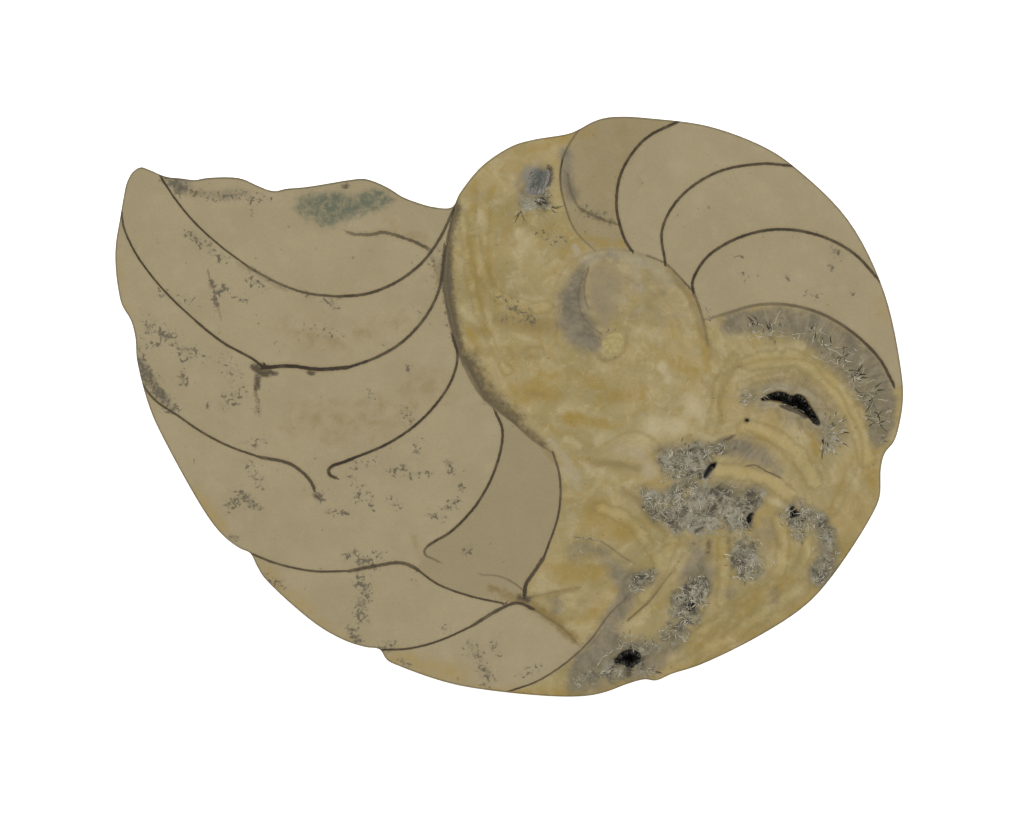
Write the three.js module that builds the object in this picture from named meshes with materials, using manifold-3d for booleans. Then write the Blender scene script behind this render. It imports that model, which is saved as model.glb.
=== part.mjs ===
// Half of a fossil nautiloid shell, sawn along its middle plane, in millimetres with +Z up.
// The polished cut is level and faces up. The natural flank of the shell lies below it and ends in
// a worn flat spot at z = 0, on which the fossil rests. X runs along the longest way across the cut.

import * as THREE from 'three';
import Module from 'manifold-3d';
import { ParametricGeometry } from 'three/addons/geometries/ParametricGeometry.js';
import { mergeGeometries, mergeVertices } from 'three/addons/utils/BufferGeometryUtils.js';

const wasm = await Module();
wasm.setup();

// Overall size, and the mesh of the flank: squares of cells about a centre that sees the whole outline
const FACE_HEIGHT = 31.6;
const GRID_CELLS = 34;
const MESH_CENTRE = [16.4, -6];
const RAY_STEPS = 60;
const RAY_EVENNESS = 0.8;

// The coil: a spiral about the pole, whose radius grows by the same share in each turn
const POLE = [18.5, 11.4];
const APERTURE_RADIUS = 90;
const APERTURE_ANGLE = THREE.MathUtils.degToRad(160);
const TURN = 2 * Math.PI;
const GROWTH_PER_TURN = 2.8;
const GROWTH_RATE = Math.log(GROWTH_PER_TURN) / TURN;

// The whorl's section: half its width, how far the rounded outer side reaches in, and its umbilicus
const HALF_WIDTH_SHARE = 0.47;
const HALF_WIDTH_LIMIT = 36.5;
const LIMIT_SHARPNESS = 9;
const VENTER_SHARE = 0.7;
const VENTER_INNER_POWER = 2.3;
const VENTER_OUTER_POWER = 2.1;
const UMBILICUS_DEPTH = 17;
const UMBILICUS_INNER_SHARE = 0.05;
const UMBILICUS_OUTER_SHARE = 0.22;

// The broken end, as a steep rough wall
const BREAK_STEEPNESS = 9;
const BREAK_POWER = 0.75;
const BREAK_WIDTH = 9;
const BREAK_ROUGHNESS = 1.6;
const BREAK_ROUGH_SPACING = 5;
const BREAK_CORNER_SHARPNESS = 6;
const BREAK_NARROWING = 0.6;

// Directions in which the angle of the newer and of the older turn is cut, away from the break
const NEWER_START = THREE.MathUtils.degToRad(50);
const OLDER_START = THREE.MathUtils.degToRad(230);

// Chambers and their partitions
const SEPTUM_GROOVE_RADIUS = 0.42;
const GROOVE_LIFT_SHARE = 0.3;
const CHAMBER_SWELL = 0.55;
const SUTURE_LOBE = THREE.MathUtils.degToRad(12);
const SUTURE_STEPS = 11;
const SUTURE_WIDTH = 1;
const SUTURE_DEPTH = 0.5;
const SUTURE_LIFT = 0.8;
const SUTURE_REACH = 0.82;
const SUTURE_CROWDING = 1.8;
const SURFACE_ROUGHNESS = 0.3;
const LUMP_SPACING = 6;
const GRAIN_SPACING = 2.5;
const SMOOTH_EDGE = 2;

// The broken upper edge of the cut, from the tip to where the inner whorl begins
const BREAK_EDGE = [
  [-66.3, 43.1], [-64.7, 42.6], [-61.8, 41.4], [-59.3, 41.1], [-56.4, 40.8], [-54.9, 41.1], [-50.6, 41.3],
  [-48.1, 41.0], [-45.6, 39.9], [-43.4, 39.0], [-42.0, 38.8], [-40.2, 39.2], [-36.8, 39.5], [-32.3, 40.2],
  [-28.7, 40.8], [-26.1, 41.0], [-24.0, 40.4], [-21.5, 39.2], [-19.3, 37.8], [-16.8, 36.8], [-13.5, 35.9],
];

// The outer side of the shell, clockwise from the inner whorl's start round to the tip
const VENTER_EDGE = [
  [-10.3, 35.9], [-8.9, 38.4], [-4.9, 43.3], [0.5, 46.9], [4.1, 48.0], [10.9, 49.2], [12.9, 50.1],
  [14.9, 51.2], [17.4, 52.0], [20.8, 52.2], [25.3, 51.9], [35.8, 50.5], [46.0, 46.7], [51.4, 43.1],
  [61.0, 33.6], [67.5, 20.6], [70.6, 6.2], [70.9, 1.7], [70.4, -2.4], [69.3, -6.2], [67.6, -8.4],
  [66.9, -11.1], [66.7, -16.1], [65.3, -19.5], [58.3, -30.3], [53.4, -35.7], [45.3, -41.1], [34.3, -46.5],
  [29.3, -48.1], [26.4, -49.3], [24.4, -49.1], [21.6, -49.8], [17.6, -51.3], [14.5, -52.0], [9.1, -52.2],
  [-2.6, -51.2], [-10.7, -49.8], [-19.3, -46.9], [-22.0, -45.6], [-23.3, -43.7], [-25.8, -43.3],
  [-29.6, -42.1], [-35.0, -39.0], [-44.0, -30.9], [-45.4, -28.7], [-46.6, -26.4], [-48.5, -25.5],
  [-51.2, -23.5], [-54.2, -19.9], [-62.0, -6.2], [-64.7, -0.3], [-67.0, 8.4], [-67.3, 12.5], [-68.1, 15.5],
  [-69.7, 18.3], [-70.5, 21.9], [-70.9, 26.0], [-70.8, 29.4], [-70.1, 33.6], [-69.5, 37.2], [-68.8, 40.4],
  [-67.7, 42.3],
];

// The partitions between the chambers, as they show on the cut, from the outer side inwards
const SEPTA = [
  [[-63.6, 42.6], [-59.7, 36.8], [-52.1, 29.0], [-46.6, 24.9], [-41.1, 22.0], [-36.4, 20.4], [-30.8, 19.8],
    [-25.6, 20.3], [-20.3, 22.4], [-15.9, 25.7], [-12.7, 29.9], [-10.9, 33.4]],
  [[-70.4, 36.2], [-69.3, 32.0], [-67.3, 27.7], [-61.0, 19.7], [-56.2, 15.2], [-50.7, 11.0], [-44.3, 7.2],
    [-39.5, 7.3], [-34.1, 6.7], [-28.8, 7.1], [-23.8, 8.9], [-19.4, 11.5], [-15.1, 16.1], [-12.9, 21.1],
    [-12.2, 24.6]],
  [[-67.3, 5.6], [-63.8, 1.2], [-55.3, -4.6], [-50.5, -7.1], [-44.9, -9.1], [-40.0, -10.1], [-37.1, -11.9],
    [-34.9, -15.4]],
  [[-30.5, -12.7], [-32.2, -11.8], [-31.4, -10.0], [-27.8, -9.2], [-22.5, -7.0], [-17.7, -4.0],
    [-13.6, -0.1], [-10.5, 4.5], [-9.5, 8.4]],
  [[-47.6, -26.0], [-42.0, -28.2], [-35.4, -29.6], [-28.8, -29.6], [-23.6, -28.6], [-19.7, -28.1],
    [-16.2, -29.4], [-12.8, -32.0], [-6.7, -34.2], [-1.1, -35.4]],
  [[-12.3, -28.0], [-15.0, -27.0], [-14.7, -25.1], [-10.6, -22.6], [-5.8, -17.5], [-2.4, -10.9],
    [-1.2, -4.4], [-2.0, -1.6]],
  [[8.2, -9.3], [9.1, -12.7], [8.9, -19.2], [6.3, -27.0], [3.2, -31.9], [2.8, -33.4]],
  [[-24.2, -44.0], [-17.7, -43.5], [-12.2, -42.0], [-6.7, -39.5], [-1.8, -36.5], [1.5, -35.5],
    [4.6, -36.6], [9.8, -40.0], [12.0, -42.4]],
  [[-1.0, -51.8], [5.1, -49.4], [10.6, -45.8], [14.8, -41.8], [18.0, -37.4], [21.0, -34.5]],
  [[70.2, 2.6], [66.7, 8.5], [62.0, 13.2], [56.2, 16.7], [50.3, 18.3], [44.6, 18.3], [39.5, 16.9],
    [36.6, 16.0]],
  [[67.7, 21.6], [62.0, 27.6], [55.8, 30.8], [48.3, 31.9], [41.3, 30.4], [35.5, 26.8], [33.6, 22.6]],
  [[52.2, 43.4], [45.5, 43.7], [37.2, 42.1], [30.6, 37.5], [27.5, 31.7], [27.8, 27.2]],
  [[31.4, 51.8], [24.5, 48.2], [20.3, 42.4], [19.3, 36.1], [20.7, 30.3], [21.6, 28.6]],
  [[13.2, 51.0], [10.0, 45.1], [9.5, 38.4], [11.8, 31.8], [14.2, 29.2]],
];

// The wall between the outer whorl and the inner one, in two stretches, and a crack near the break
const WHORL_WALLS = [
  [[8.6, 13.8], [8.0, 20.4], [10.3, 25.3], [15.0, 27.9], [20.4, 28.2], [24.8, 27.2], [28.2, 25.7],
    [31.6, 22.3], [33.9, 18.6], [35.4, 13.8], [36.5, 9.1]],
  [[-10.7, 35.0], [-11.6, 28.7], [-11.9, 22.8], [-10.9, 16.5], [-9.1, 9.6], [-4.6, 1.5], [0.4, -2.5],
    [4.3, -6.0], [7.9, -8.4]],
];
const CRACK = [[-29.6, 31.6], [-25.8, 30.8], [-22.1, 31.2], [-19.0, 30.2], [-15.5, 28.9], [-14.6, 28.3]];
const CRACK_WIDENING = 1.3;

// Where each partition meets the outer side, in degrees about the pole, and at the break as well
const SUTURE_ANGLES = [166, 187, 210, 233.5, 254, 274, 293, 312, 331, 351, 377, 404.5, 433, 458];

// Open hollows in the cut, each as its edge, a point that sees the whole edge, and its depth
const CRESCENT_HOLLOW = {
  edge: [
    [45.3, 1.1], [46.4, 2.2], [48.4, 2.8], [49.9, 2.6], [50.9, 2.0], [51.9, 2.4], [53.1, 1.9], [54.2, 0.4],
    [55.2, -1.1], [55.9, -2.5], [56.0, -3.6], [55.0, -3.2], [53.9, -2.2], [52.9, -1.4], [52.1, -0.9],
    [50.3, 0.0], [49.0, 0.5], [47.0, 0.9],
  ],
  centre: [51.6, 1.0],
  depth: 5,
};
const LOWER_HOLLOW = {
  edge: [
    [18.5, -46.2], [19.3, -45.2], [20.1, -44.3], [21.6, -43.7], [22.8, -43.9], [23.7, -44.5], [23.5, -46.2],
    [22.6, -46.6], [21.8, -47.4], [20.6, -46.5],
  ],
  centre: [21.7, -45.3],
  depth: 4.2,
};
const UPPER_HOLLOW = {
  edge: [
    [3.2, 37.2], [3.4, 39.7], [3.9, 42.2], [5.5, 43.3], [7.3, 42.2], [7.2, 40.4], [6.8, 38.8], [7.4, 37.4],
    [5.5, 36.2],
  ],
  centre: [5.3, 39.6],
  depth: 2.6,
};
const SMALL_PITS = [
  {
    edge: [[31.6, -34.7], [32.8, -34.7], [33.5, -36.1], [32.6, -37.0], [31.8, -36.3]],
    centre: [32.4, -35.6],
    depth: 2.5,
  },
  {
    edge: [[51.1, -17.6], [51.8, -18.7], [52.6, -19.2], [50.9, -20.2], [50.2, -19.6]],
    centre: [51.2, -19.1],
    depth: 2.5,
  },
  {
    edge: [[37.0, -9.7], [37.2, -10.6], [36.3, -11.9], [35.4, -12.8], [35.3, -11.8]],
    centre: [36.3, -11.2],
    depth: 2.2,
  },
  {
    edge: [[44.2, -19.1], [43.9, -20.3], [43.0, -21.4], [42.8, -20.1]],
    centre: [43.5, -20.2],
    depth: 2,
  },
  {
    edge: [[42.0, -2.5], [42.7, -1.9], [43.4, -2.5], [42.7, -3.1]],
    centre: [42.7, -2.5],
    depth: 1.8,
  },
];

// Crystals that line the larger hollows
const CRUST_FIT = 0.84;
const CRUST_HOLLOW_FIT = 0.62;
const CRUST_BELOW_FACE = 0.4;
const CRUST_WALL = 0.8;
const CRYSTAL_SIDES = 6;
const CRYSTAL_RADIUS = 0.42;
const CRYSTAL_LENGTH = 1.5;
const CRYSTALS_PER_EDGE_POINT = 0.6;
const CRYSTAL_ROOT_FIT = 0.76;
const CRYSTAL_LEAN = 0.8;

// How a hollow narrows: its width and its depth, as shares, from the middle of its top to its bottom
const HOLLOW_PROFILE = [[0, 0], [1, 0], [0.97, 0.35], [0.8, 0.75], [0.45, 1], [0, 1]];

// A partition's groove in the flank, across its run: how far to the side and how far out of the stone
const SUTURE_SECTION = [
  [0, -SUTURE_DEPTH], [SUTURE_WIDTH / 2, 0.1], [SUTURE_WIDTH / 2, 2 * SUTURE_LIFT],
  [-SUTURE_WIDTH / 2, 2 * SUTURE_LIFT], [-SUTURE_WIDTH / 2, 0.1],
];

const GOLDEN_ANGLE = Math.PI * (3 - Math.sqrt(5));

const flat = (points) => points.map(([x, y]) => new THREE.Vector3(x, y, 0));

function stoneMaterial() {
  return new THREE.MeshStandardMaterial({ color: 0x9e9070, roughness: 0.42, metalness: 0 });
}

function crystalMaterial() {
  return new THREE.MeshStandardMaterial({ color: 0x6f6b5e, roughness: 0.3, metalness: 0 });
}

// The closed outline of the cut, as a curve whose parameter runs with its length
function makeOutline() {
  const outline = new THREE.CatmullRomCurve3(flat([...BREAK_EDGE, ...VENTER_EDGE]), true, 'centripetal');
  outline.arcLengthDivisions = 2000;
  return outline;
}

// A stretch of the outline between two of its points, as a fine chain of points
function chainOf(outline, first, last, pieces) {
  const count = outline.points.length;
  const chain = [];
  for (let i = 0; i <= pieces; i += 1) {
    const t = (first + ((last - first) * i) / pieces) / count;
    chain.push(outline.getPoint(t - Math.floor(t)));
  }
  return chain;
}

const outline = makeOutline();
const breakChain = chainOf(outline, 0, BREAK_EDGE.length, 60);
const venterChain = chainOf(outline, BREAK_EDGE.length, outline.points.length, 240);
const junction = VENTER_EDGE[0];

// The distance from a point to a chain of straight pieces
function distanceTo(chain, x, y) {
  let best = Infinity;
  for (let i = 1; i < chain.length; i += 1) {
    const a = chain[i - 1];
    const dx = chain[i].x - a.x;
    const dy = chain[i].y - a.y;
    const along = THREE.MathUtils.clamp(((x - a.x) * dx + (y - a.y) * dy) / (dx * dx + dy * dy), 0, 1);
    best = Math.min(best, Math.hypot(x - a.x - along * dx, y - a.y - along * dy));
  }
  return best;
}

// Smooth noise between -1 and 1 over a plane, from random values at whole numbers
function noise(x, y) {
  const value = (i, j) => {
    const s = Math.sin(i * 127.1 + j * 311.7) * 43758.5453;
    return 2 * (s - Math.floor(s)) - 1;
  };
  const i = Math.floor(x);
  const j = Math.floor(y);
  const u = THREE.MathUtils.smoothstep(x - i, 0, 1);
  const v = THREE.MathUtils.smoothstep(y - j, 0, 1);
  const low = THREE.MathUtils.lerp(value(i, j), value(i + 1, j), u);
  const high = THREE.MathUtils.lerp(value(i, j + 1), value(i + 1, j + 1), u);
  return THREE.MathUtils.lerp(low, high, v);
}

// How far back along the coil a direction lies, with the cut in the angle placed at its start
function turnBack(angle, start) {
  const turns = Math.floor((angle - start) / TURN);
  return angle - turns * TURN - APERTURE_ANGLE;
}

const spiralRadius = (back) => APERTURE_RADIUS * Math.exp(-GROWTH_RATE * back);

// Two depths joined by a rounded corner, never deeper than either
const softLeast = (a, b, sharpness) => (a ** -sharpness + b ** -sharpness) ** (-1 / sharpness);

// The swell of each chamber between its two partitions
function chamberSwell(back, share) {
  const lobe = SUTURE_LOBE * Math.sin(Math.PI * THREE.MathUtils.clamp(1 - share, 0, 1));
  const angle = THREE.MathUtils.radToDeg(back + APERTURE_ANGLE - lobe);
  const next = SUTURE_ANGLES.findIndex((value) => value > angle);
  if (next < 1) {
    return 0;
  }
  const from = SUTURE_ANGLES[next - 1];
  const phase = (angle - from) / (SUTURE_ANGLES[next] - from);
  return CHAMBER_SWELL * Math.sin(Math.PI * phase) * THREE.MathUtils.smoothstep(share, 0.15, 0.4);
}

// The depth of one turn of the shell below the cut
function whorlDepth(x, y, start, outerDistance) {
  const dx = x - POLE[0];
  const dy = y - POLE[1];
  const back = turnBack(Math.atan2(dy, dx), start);
  const radius = spiralRadius(back);
  const width = softLeast(HALF_WIDTH_SHARE * radius, HALF_WIDTH_LIMIT, LIMIT_SHARPNESS);
  const inwards = Math.min(1, outerDistance / (VENTER_SHARE * radius));
  const rounding = (1 - (1 - inwards) ** VENTER_INNER_POWER) ** (1 / VENTER_OUTER_POWER);
  const share = Math.hypot(dx, dy) / radius;
  const flank = (width - CHAMBER_SWELL + chamberSwell(back, share)) * rounding;
  const shoulder = THREE.MathUtils.smoothstep(share, UMBILICUS_INNER_SHARE, UMBILICUS_OUTER_SHARE);
  return THREE.MathUtils.lerp(Math.min(UMBILICUS_DEPTH, flank), flank, shoulder);
}

// The depth of the stone below the cut. The outer turn ends at the break, where it stands above the
// older turn as a wall that runs from the pole to the junction and on along the broken edge.
function stoneDepth(x, y) {
  const outerDistance = distanceTo(venterChain, x, y);
  const breakDistance = distanceTo(breakChain, x, y);
  const wallX = junction[0] - POLE[0];
  const wallY = junction[1] - POLE[1];
  const wallLength = Math.hypot(wallX, wallY);
  const fromPole = Math.hypot(x - POLE[0], y - POLE[1]);
  const side = (wallX * (y - POLE[1]) - wallY * (x - POLE[0])) / wallLength;
  const rough = BREAK_ROUGHNESS * noise(x / BREAK_ROUGH_SPACING, y / BREAK_ROUGH_SPACING);
  const half = Math.min(BREAK_WIDTH, BREAK_NARROWING * fromPole + 0.5) / 2;
  const older = whorlDepth(x, y, OLDER_START, outerDistance);
  const newer = whorlDepth(x, y, NEWER_START, outerDistance);
  const wall = BREAK_STEEPNESS * (breakDistance + 1e-6) ** BREAK_POWER * (1 + 0.1 * rough);
  const broken = softLeast(newer, wall, BREAK_CORNER_SHARPNESS);
  const kept = THREE.MathUtils.smoothstep(side + rough, -half, half);
  const depth = THREE.MathUtils.lerp(older, broken, kept);
  const lumps = noise(x / LUMP_SPACING, y / LUMP_SPACING);
  const grain = noise(x / GRAIN_SPACING, y / GRAIN_SPACING);
  const away = Math.min(1, Math.min(outerDistance, breakDistance) / SMOOTH_EDGE);
  return depth + away * SURFACE_ROUGHNESS * (lumps + grain) / 2;
}

// The point of the outline at a share of its length, from the first point of the broken edge
const edgePoint = (turn) => outline.getPointAt(turn - Math.floor(turn));

// The point at a share of the way from the centre of the mesh to a point of the outline
function reach(turn, out) {
  const edge = edgePoint(turn);
  const x = THREE.MathUtils.lerp(MESH_CENTRE[0], edge.x, out);
  const y = THREE.MathUtils.lerp(MESH_CENTRE[1], edge.y, out);
  return [x, y];
}

// For each ray from the centre of the mesh to the outline: the share of the ray at even steps of length
// along the curved flank, so that the steep outer wall gets its share of the mesh
function makeRaySpacing(rays) {
  const steps = RAY_STEPS;
  const table = [];
  for (let ray = 0; ray < rays; ray += 1) {
    const lengths = [0];
    let [oldX, oldY] = reach(ray / rays, 0);
    let oldDepth = stoneDepth(oldX, oldY);
    for (let i = 1; i <= steps; i += 1) {
      const [x, y] = reach(ray / rays, i / steps);
      const depth = i === steps ? 0 : stoneDepth(x, y);
      lengths.push(lengths[i - 1] + Math.hypot(x - oldX, y - oldY, depth - oldDepth));
      [oldX, oldY, oldDepth] = [x, y, depth];
    }
    table.push(lengths.map((length) => length / lengths[steps]));
  }
  return (turn, out) => {
    const place = (turn - Math.floor(turn)) * rays;
    const low = Math.floor(place) % rays;
    const shareOn = (lengths) => {
      const next = Math.max(1, lengths.findIndex((length) => length >= out - 1e-9));
      const before = lengths[next - 1];
      return (next - 1 + (out - before) / (lengths[next] - before)) / steps;
    };
    const along = THREE.MathUtils.lerp(shareOn(table[low]), shareOn(table[(low + 1) % rays]), place % 1);
    return THREE.MathUtils.lerp(out, along, RAY_EVENNESS);
  };
}

// A square of cells laid over the outline: squares about the middle become rings about the mesh centre
function squareToRing(u, v) {
  const s = 2 * u - 1;
  const t = 2 * v - 1;
  const out = Math.max(Math.abs(s), Math.abs(t));
  if (out < 1e-9) {
    return [0, 0];
  }
  if (Math.abs(s) >= Math.abs(t)) {
    return [(s > 0 ? 0 : 0.5) + t / s / 8, out];
  }
  return [(t > 0 ? 0.25 : 0.75) - s / t / 8, out];
}

// The flank and the flat cut, closed along the outline
function makeStoneBody() {
  const rimPoints = 4 * GRID_CELLS;
  const spacing = makeRaySpacing(rimPoints);
  const flank = new ParametricGeometry((u, v, target) => {
    const [turn, out] = squareToRing(u, v);
    const share = out > 1 - 1e-9 ? 1 : spacing(turn, out);
    const [x, y] = reach(turn, share);
    target.set(x, y, share === 1 ? FACE_HEIGHT : FACE_HEIGHT - stoneDepth(x, y));
  }, GRID_CELLS, GRID_CELLS);
  const rim = [];
  for (let i = 0; i < rimPoints; i += 1) {
    const point = edgePoint(i / rimPoints);
    rim.push(new THREE.Vector2(point.x, point.y));
  }
  const cut = new THREE.ShapeGeometry(new THREE.Shape(rim)).translate(0, 0, FACE_HEIGHT);
  return solidFrom([flank, cut]);
}

// One closed solid from geometries that meet edge to edge
function solidFrom(geometries) {
  const bare = geometries.map((geometry) => {
    const copy = geometry.index ? geometry.toNonIndexed() : geometry.clone();
    copy.deleteAttribute('normal');
    copy.deleteAttribute('uv');
    return copy;
  });
  const merged = mergeVertices(mergeGeometries(bare), 1e-4);
  const corners = merged.index.array;
  const triangles = [];
  for (let i = 0; i < corners.length; i += 3) {
    const [a, b, c] = [corners[i], corners[i + 1], corners[i + 2]];
    if (a !== b && b !== c && c !== a) {
      triangles.push(a, b, c);
    }
  }
  const mesh = new wasm.Mesh({
    numProp: 3,
    vertProperties: merged.attributes.position.array,
    triVerts: new Uint32Array(triangles),
  });
  return new wasm.Manifold(mesh);
}

function geometryFrom(solid) {
  const mesh = solid.getMesh();
  const geometry = new THREE.BufferGeometry();
  geometry.setAttribute('position', new THREE.BufferAttribute(mesh.vertProperties, 3));
  geometry.setIndex(new THREE.BufferAttribute(mesh.triVerts, 1));
  geometry.computeVertexNormals();
  return geometry;
}

// A groove with a sharp bottom along a list of points in space
function grooveTool(points, radius, steps) {
  const section = new THREE.Shape();
  section.moveTo(radius, 0).lineTo(0, radius).lineTo(-radius, 0).lineTo(0, -radius);
  const path = new THREE.CatmullRomCurve3(points, false, 'centripetal');
  return solidFrom([new THREE.ExtrudeGeometry(section, { steps, bevelEnabled: false, extrudePath: path })]);
}

// A groove in the cut, along points chosen on it
function cutGroove(points, radius) {
  const level = FACE_HEIGHT + GROOVE_LIFT_SHARE * radius;
  return grooveTool(points.map(([x, y]) => new THREE.Vector3(x, y, level)), radius, points.length + 2);
}

// The radius of the outline about the pole in a direction
function outerRadius(angle) {
  let best = 0;
  for (let i = 1; i < venterChain.length; i += 1) {
    const a = venterChain[i - 1];
    const b = venterChain[i];
    const turnA = Math.atan2(a.y - POLE[1], a.x - POLE[0]);
    const turnB = Math.atan2(b.y - POLE[1], b.x - POLE[0]);
    const middle = Math.atan2(Math.sin(angle - turnA), Math.cos(angle - turnA));
    const span = Math.atan2(Math.sin(turnB - turnA), Math.cos(turnB - turnA));
    const share = middle / span;
    if (share >= 0 && share <= 1) {
      const radiusA = Math.hypot(a.x - POLE[0], a.y - POLE[1]);
      const radiusB = Math.hypot(b.x - POLE[0], b.y - POLE[1]);
      best = Math.max(best, THREE.MathUtils.lerp(radiusA, radiusB, share));
    }
  }
  return best;
}

// The direction straight out of the flank
function flankNormal(x, y) {
  const slopeX = (stoneDepth(x + 1, y) - stoneDepth(x - 1, y)) / 2;
  const slopeY = (stoneDepth(x, y + 1) - stoneDepth(x, y - 1)) / 2;
  return new THREE.Vector3(-slopeX, -slopeY, -1).normalize();
}

// Where one partition meets the flank: points from the outer side to the umbilicus, each with the
// direction out of the stone. The first lies above the cut, so that the groove opens through its edge.
function sutureSeats(degrees, stoneMesh) {
  const start = THREE.MathUtils.degToRad(degrees);
  const ray = new THREE.Raycaster();
  const up = new THREE.Vector3(0, 0, 1);
  const radial = new THREE.Vector3(Math.cos(start), Math.sin(start), 0);
  const edge = new THREE.Vector3(...POLE, FACE_HEIGHT).addScaledVector(radial, outerRadius(start));
  const seats = [
    { point: edge.clone().addScaledVector(up, SUTURE_WIDTH), out: radial },
    { point: edge.clone().addScaledVector(up, -SUTURE_WIDTH), out: radial },
  ];
  for (let i = 1; i <= SUTURE_STEPS; i += 1) {
    const share = 1 - SUTURE_REACH * (i / SUTURE_STEPS) ** SUTURE_CROWDING;
    const angle = start + SUTURE_LOBE * Math.sin(Math.PI * (1 - share));
    const radius = outerRadius(angle) * share;
    const x = POLE[0] + radius * Math.cos(angle);
    const y = POLE[1] + radius * Math.sin(angle);
    ray.set(new THREE.Vector3(x, y, -FACE_HEIGHT), up);
    const [hit] = ray.intersectObject(stoneMesh);
    seats.push({ point: hit.point, out: flankNormal(x, y) });
  }
  return seats;
}

// A groove with a sharp bottom that follows a partition's line over the flank
function sutureGroove(degrees, stoneMesh) {
  const seats = sutureSeats(degrees, stoneMesh);
  const last = seats.length - 1;
  const rings = last + 2;
  const body = new ParametricGeometry((u, v, target) => {
    const ring = Math.round(v * rings);
    const place = THREE.MathUtils.clamp(ring - 1, 0, last);
    const { point, out } = seats[place];
    const along = seats[Math.min(place + 1, last)].point.clone().sub(seats[Math.max(place - 1, 0)].point);
    const across = new THREE.Vector3().crossVectors(out, along).normalize();
    const [wide, high] = SUTURE_SECTION[Math.round(u * SUTURE_SECTION.length) % SUTURE_SECTION.length];
    target.copy(point).addScaledVector(out, SUTURE_LIFT);
    if (ring > 0 && ring < rings) {
      target.copy(point).addScaledVector(across, wide).addScaledVector(out, high);
    }
  }, SUTURE_SECTION.length, rings);
  return solidFrom([body]);
}

// A hollow that narrows with depth, from a share of its edge and a top level
function hollowTool({ edge, centre, depth }, fit, top) {
  const rim = new THREE.CatmullRomCurve3(flat(edge), true, 'centripetal');
  const rings = HOLLOW_PROFILE.length - 1;
  const body = new ParametricGeometry((u, v, target) => {
    const [share, down] = HOLLOW_PROFILE[Math.round(v * rings)];
    const point = rim.getPoint(u % 1);
    const x = THREE.MathUtils.lerp(centre[0], point.x, share * fit);
    const y = THREE.MathUtils.lerp(centre[1], point.y, share * fit);
    target.set(x, y, top - down * (depth * fit + top - FACE_HEIGHT));
  }, edge.length, rings);
  return solidFrom([body]);
}

// Pointed crystals round the wall of a hollow, leaning into it
function crystalPoints({ edge, centre, depth }) {
  const rim = new THREE.CatmullRomCurve3(flat(edge), true, 'centripetal');
  const crystals = [];
  const count = Math.round(edge.length * CRYSTALS_PER_EDGE_POINT);
  for (let i = 0; i < count; i += 1) {
    const root = rim.getPoint((i + 0.5) / count);
    const level = FACE_HEIGHT - CRUST_BELOW_FACE - 0.5 - 0.5 * depth * ((i * 0.618) % 1);
    const length = CRYSTAL_LENGTH * (0.75 + 0.5 * ((i * 0.382) % 1));
    const x = THREE.MathUtils.lerp(centre[0], root.x, CRYSTAL_ROOT_FIT);
    const y = THREE.MathUtils.lerp(centre[1], root.y, CRYSTAL_ROOT_FIT);
    const lean = new THREE.Vector3(centre[0] - x, centre[1] - y, CRYSTAL_LEAN).normalize();
    const crystal = new THREE.ConeGeometry(CRYSTAL_RADIUS, length, CRYSTAL_SIDES);
    crystal.rotateY(i * GOLDEN_ANGLE);
    crystal.applyQuaternion(new THREE.Quaternion().setFromUnitVectors(new THREE.Vector3(0, 1, 0), lean));
    crystal.translate(x, y, level);
    crystals.push(solidFrom([crystal]));
  }
  return crystals;
}

// The crust of crystals in a hollow: a lining with points on it, kept clear of the stone
function makeCrust(name, hollow) {
  const top = FACE_HEIGHT - CRUST_BELOW_FACE;
  const lining = hollowTool(hollow, CRUST_FIT, top);
  const inner = hollowTool({ ...hollow, depth: hollow.depth - CRUST_WALL }, CRUST_HOLLOW_FIT, FACE_HEIGHT);
  let crust = lining.subtract(inner);
  for (const crystal of crystalPoints(hollow)) {
    crust = crust.add(crystal.intersect(lining));
  }
  const mesh = new THREE.Mesh(geometryFrom(crust), crystalMaterial());
  mesh.name = name;
  return mesh;
}

// The stone with its flat spot, grooves and hollows
function makeStone() {
  const below = new THREE.BoxGeometry(4 * APERTURE_RADIUS, 4 * APERTURE_RADIUS, 2 * FACE_HEIGHT);
  let stone = makeStoneBody().subtract(solidFrom([below.translate(0, 0, -FACE_HEIGHT)]));
  const seat = new THREE.Mesh(geometryFrom(stone), new THREE.MeshBasicMaterial({ side: THREE.DoubleSide }));
  const sutures = SUTURE_ANGLES.map((degrees) => sutureGroove(degrees, seat));
  const septa = [...SEPTA, ...WHORL_WALLS].map((points) => cutGroove(points, SEPTUM_GROOVE_RADIUS));
  const crack = cutGroove(CRACK, CRACK_WIDENING * SEPTUM_GROOVE_RADIUS);
  const hollows = [CRESCENT_HOLLOW, LOWER_HOLLOW, UPPER_HOLLOW, ...SMALL_PITS];
  const pits = hollows.map((hollow) => hollowTool(hollow, 1, FACE_HEIGHT + 1));
  for (const tool of [...sutures, ...septa, crack, ...pits]) {
    stone = stone.subtract(tool);
  }
  const mesh = new THREE.Mesh(geometryFrom(stone), stoneMaterial());
  mesh.name = 'nautiloid_half';
  return mesh;
}

const fossil = new THREE.Group();
fossil.add(makeStone());
fossil.add(makeCrust('crescent_vug_crystals', CRESCENT_HOLLOW));
fossil.add(makeCrust('lower_vug_crystals', LOWER_HOLLOW));
fossil.add(makeCrust('upper_vug_crystals', UPPER_HOLLOW));

export default fossil;
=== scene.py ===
"""Half of a fossil nautiloid, sawn along its middle plane and polished. It lies on its natural flank.

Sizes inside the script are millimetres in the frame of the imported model: X runs along the longest way
across the cut, Z is up, and the cut is level at the top. Meshes are written in metres.
"""

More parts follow.
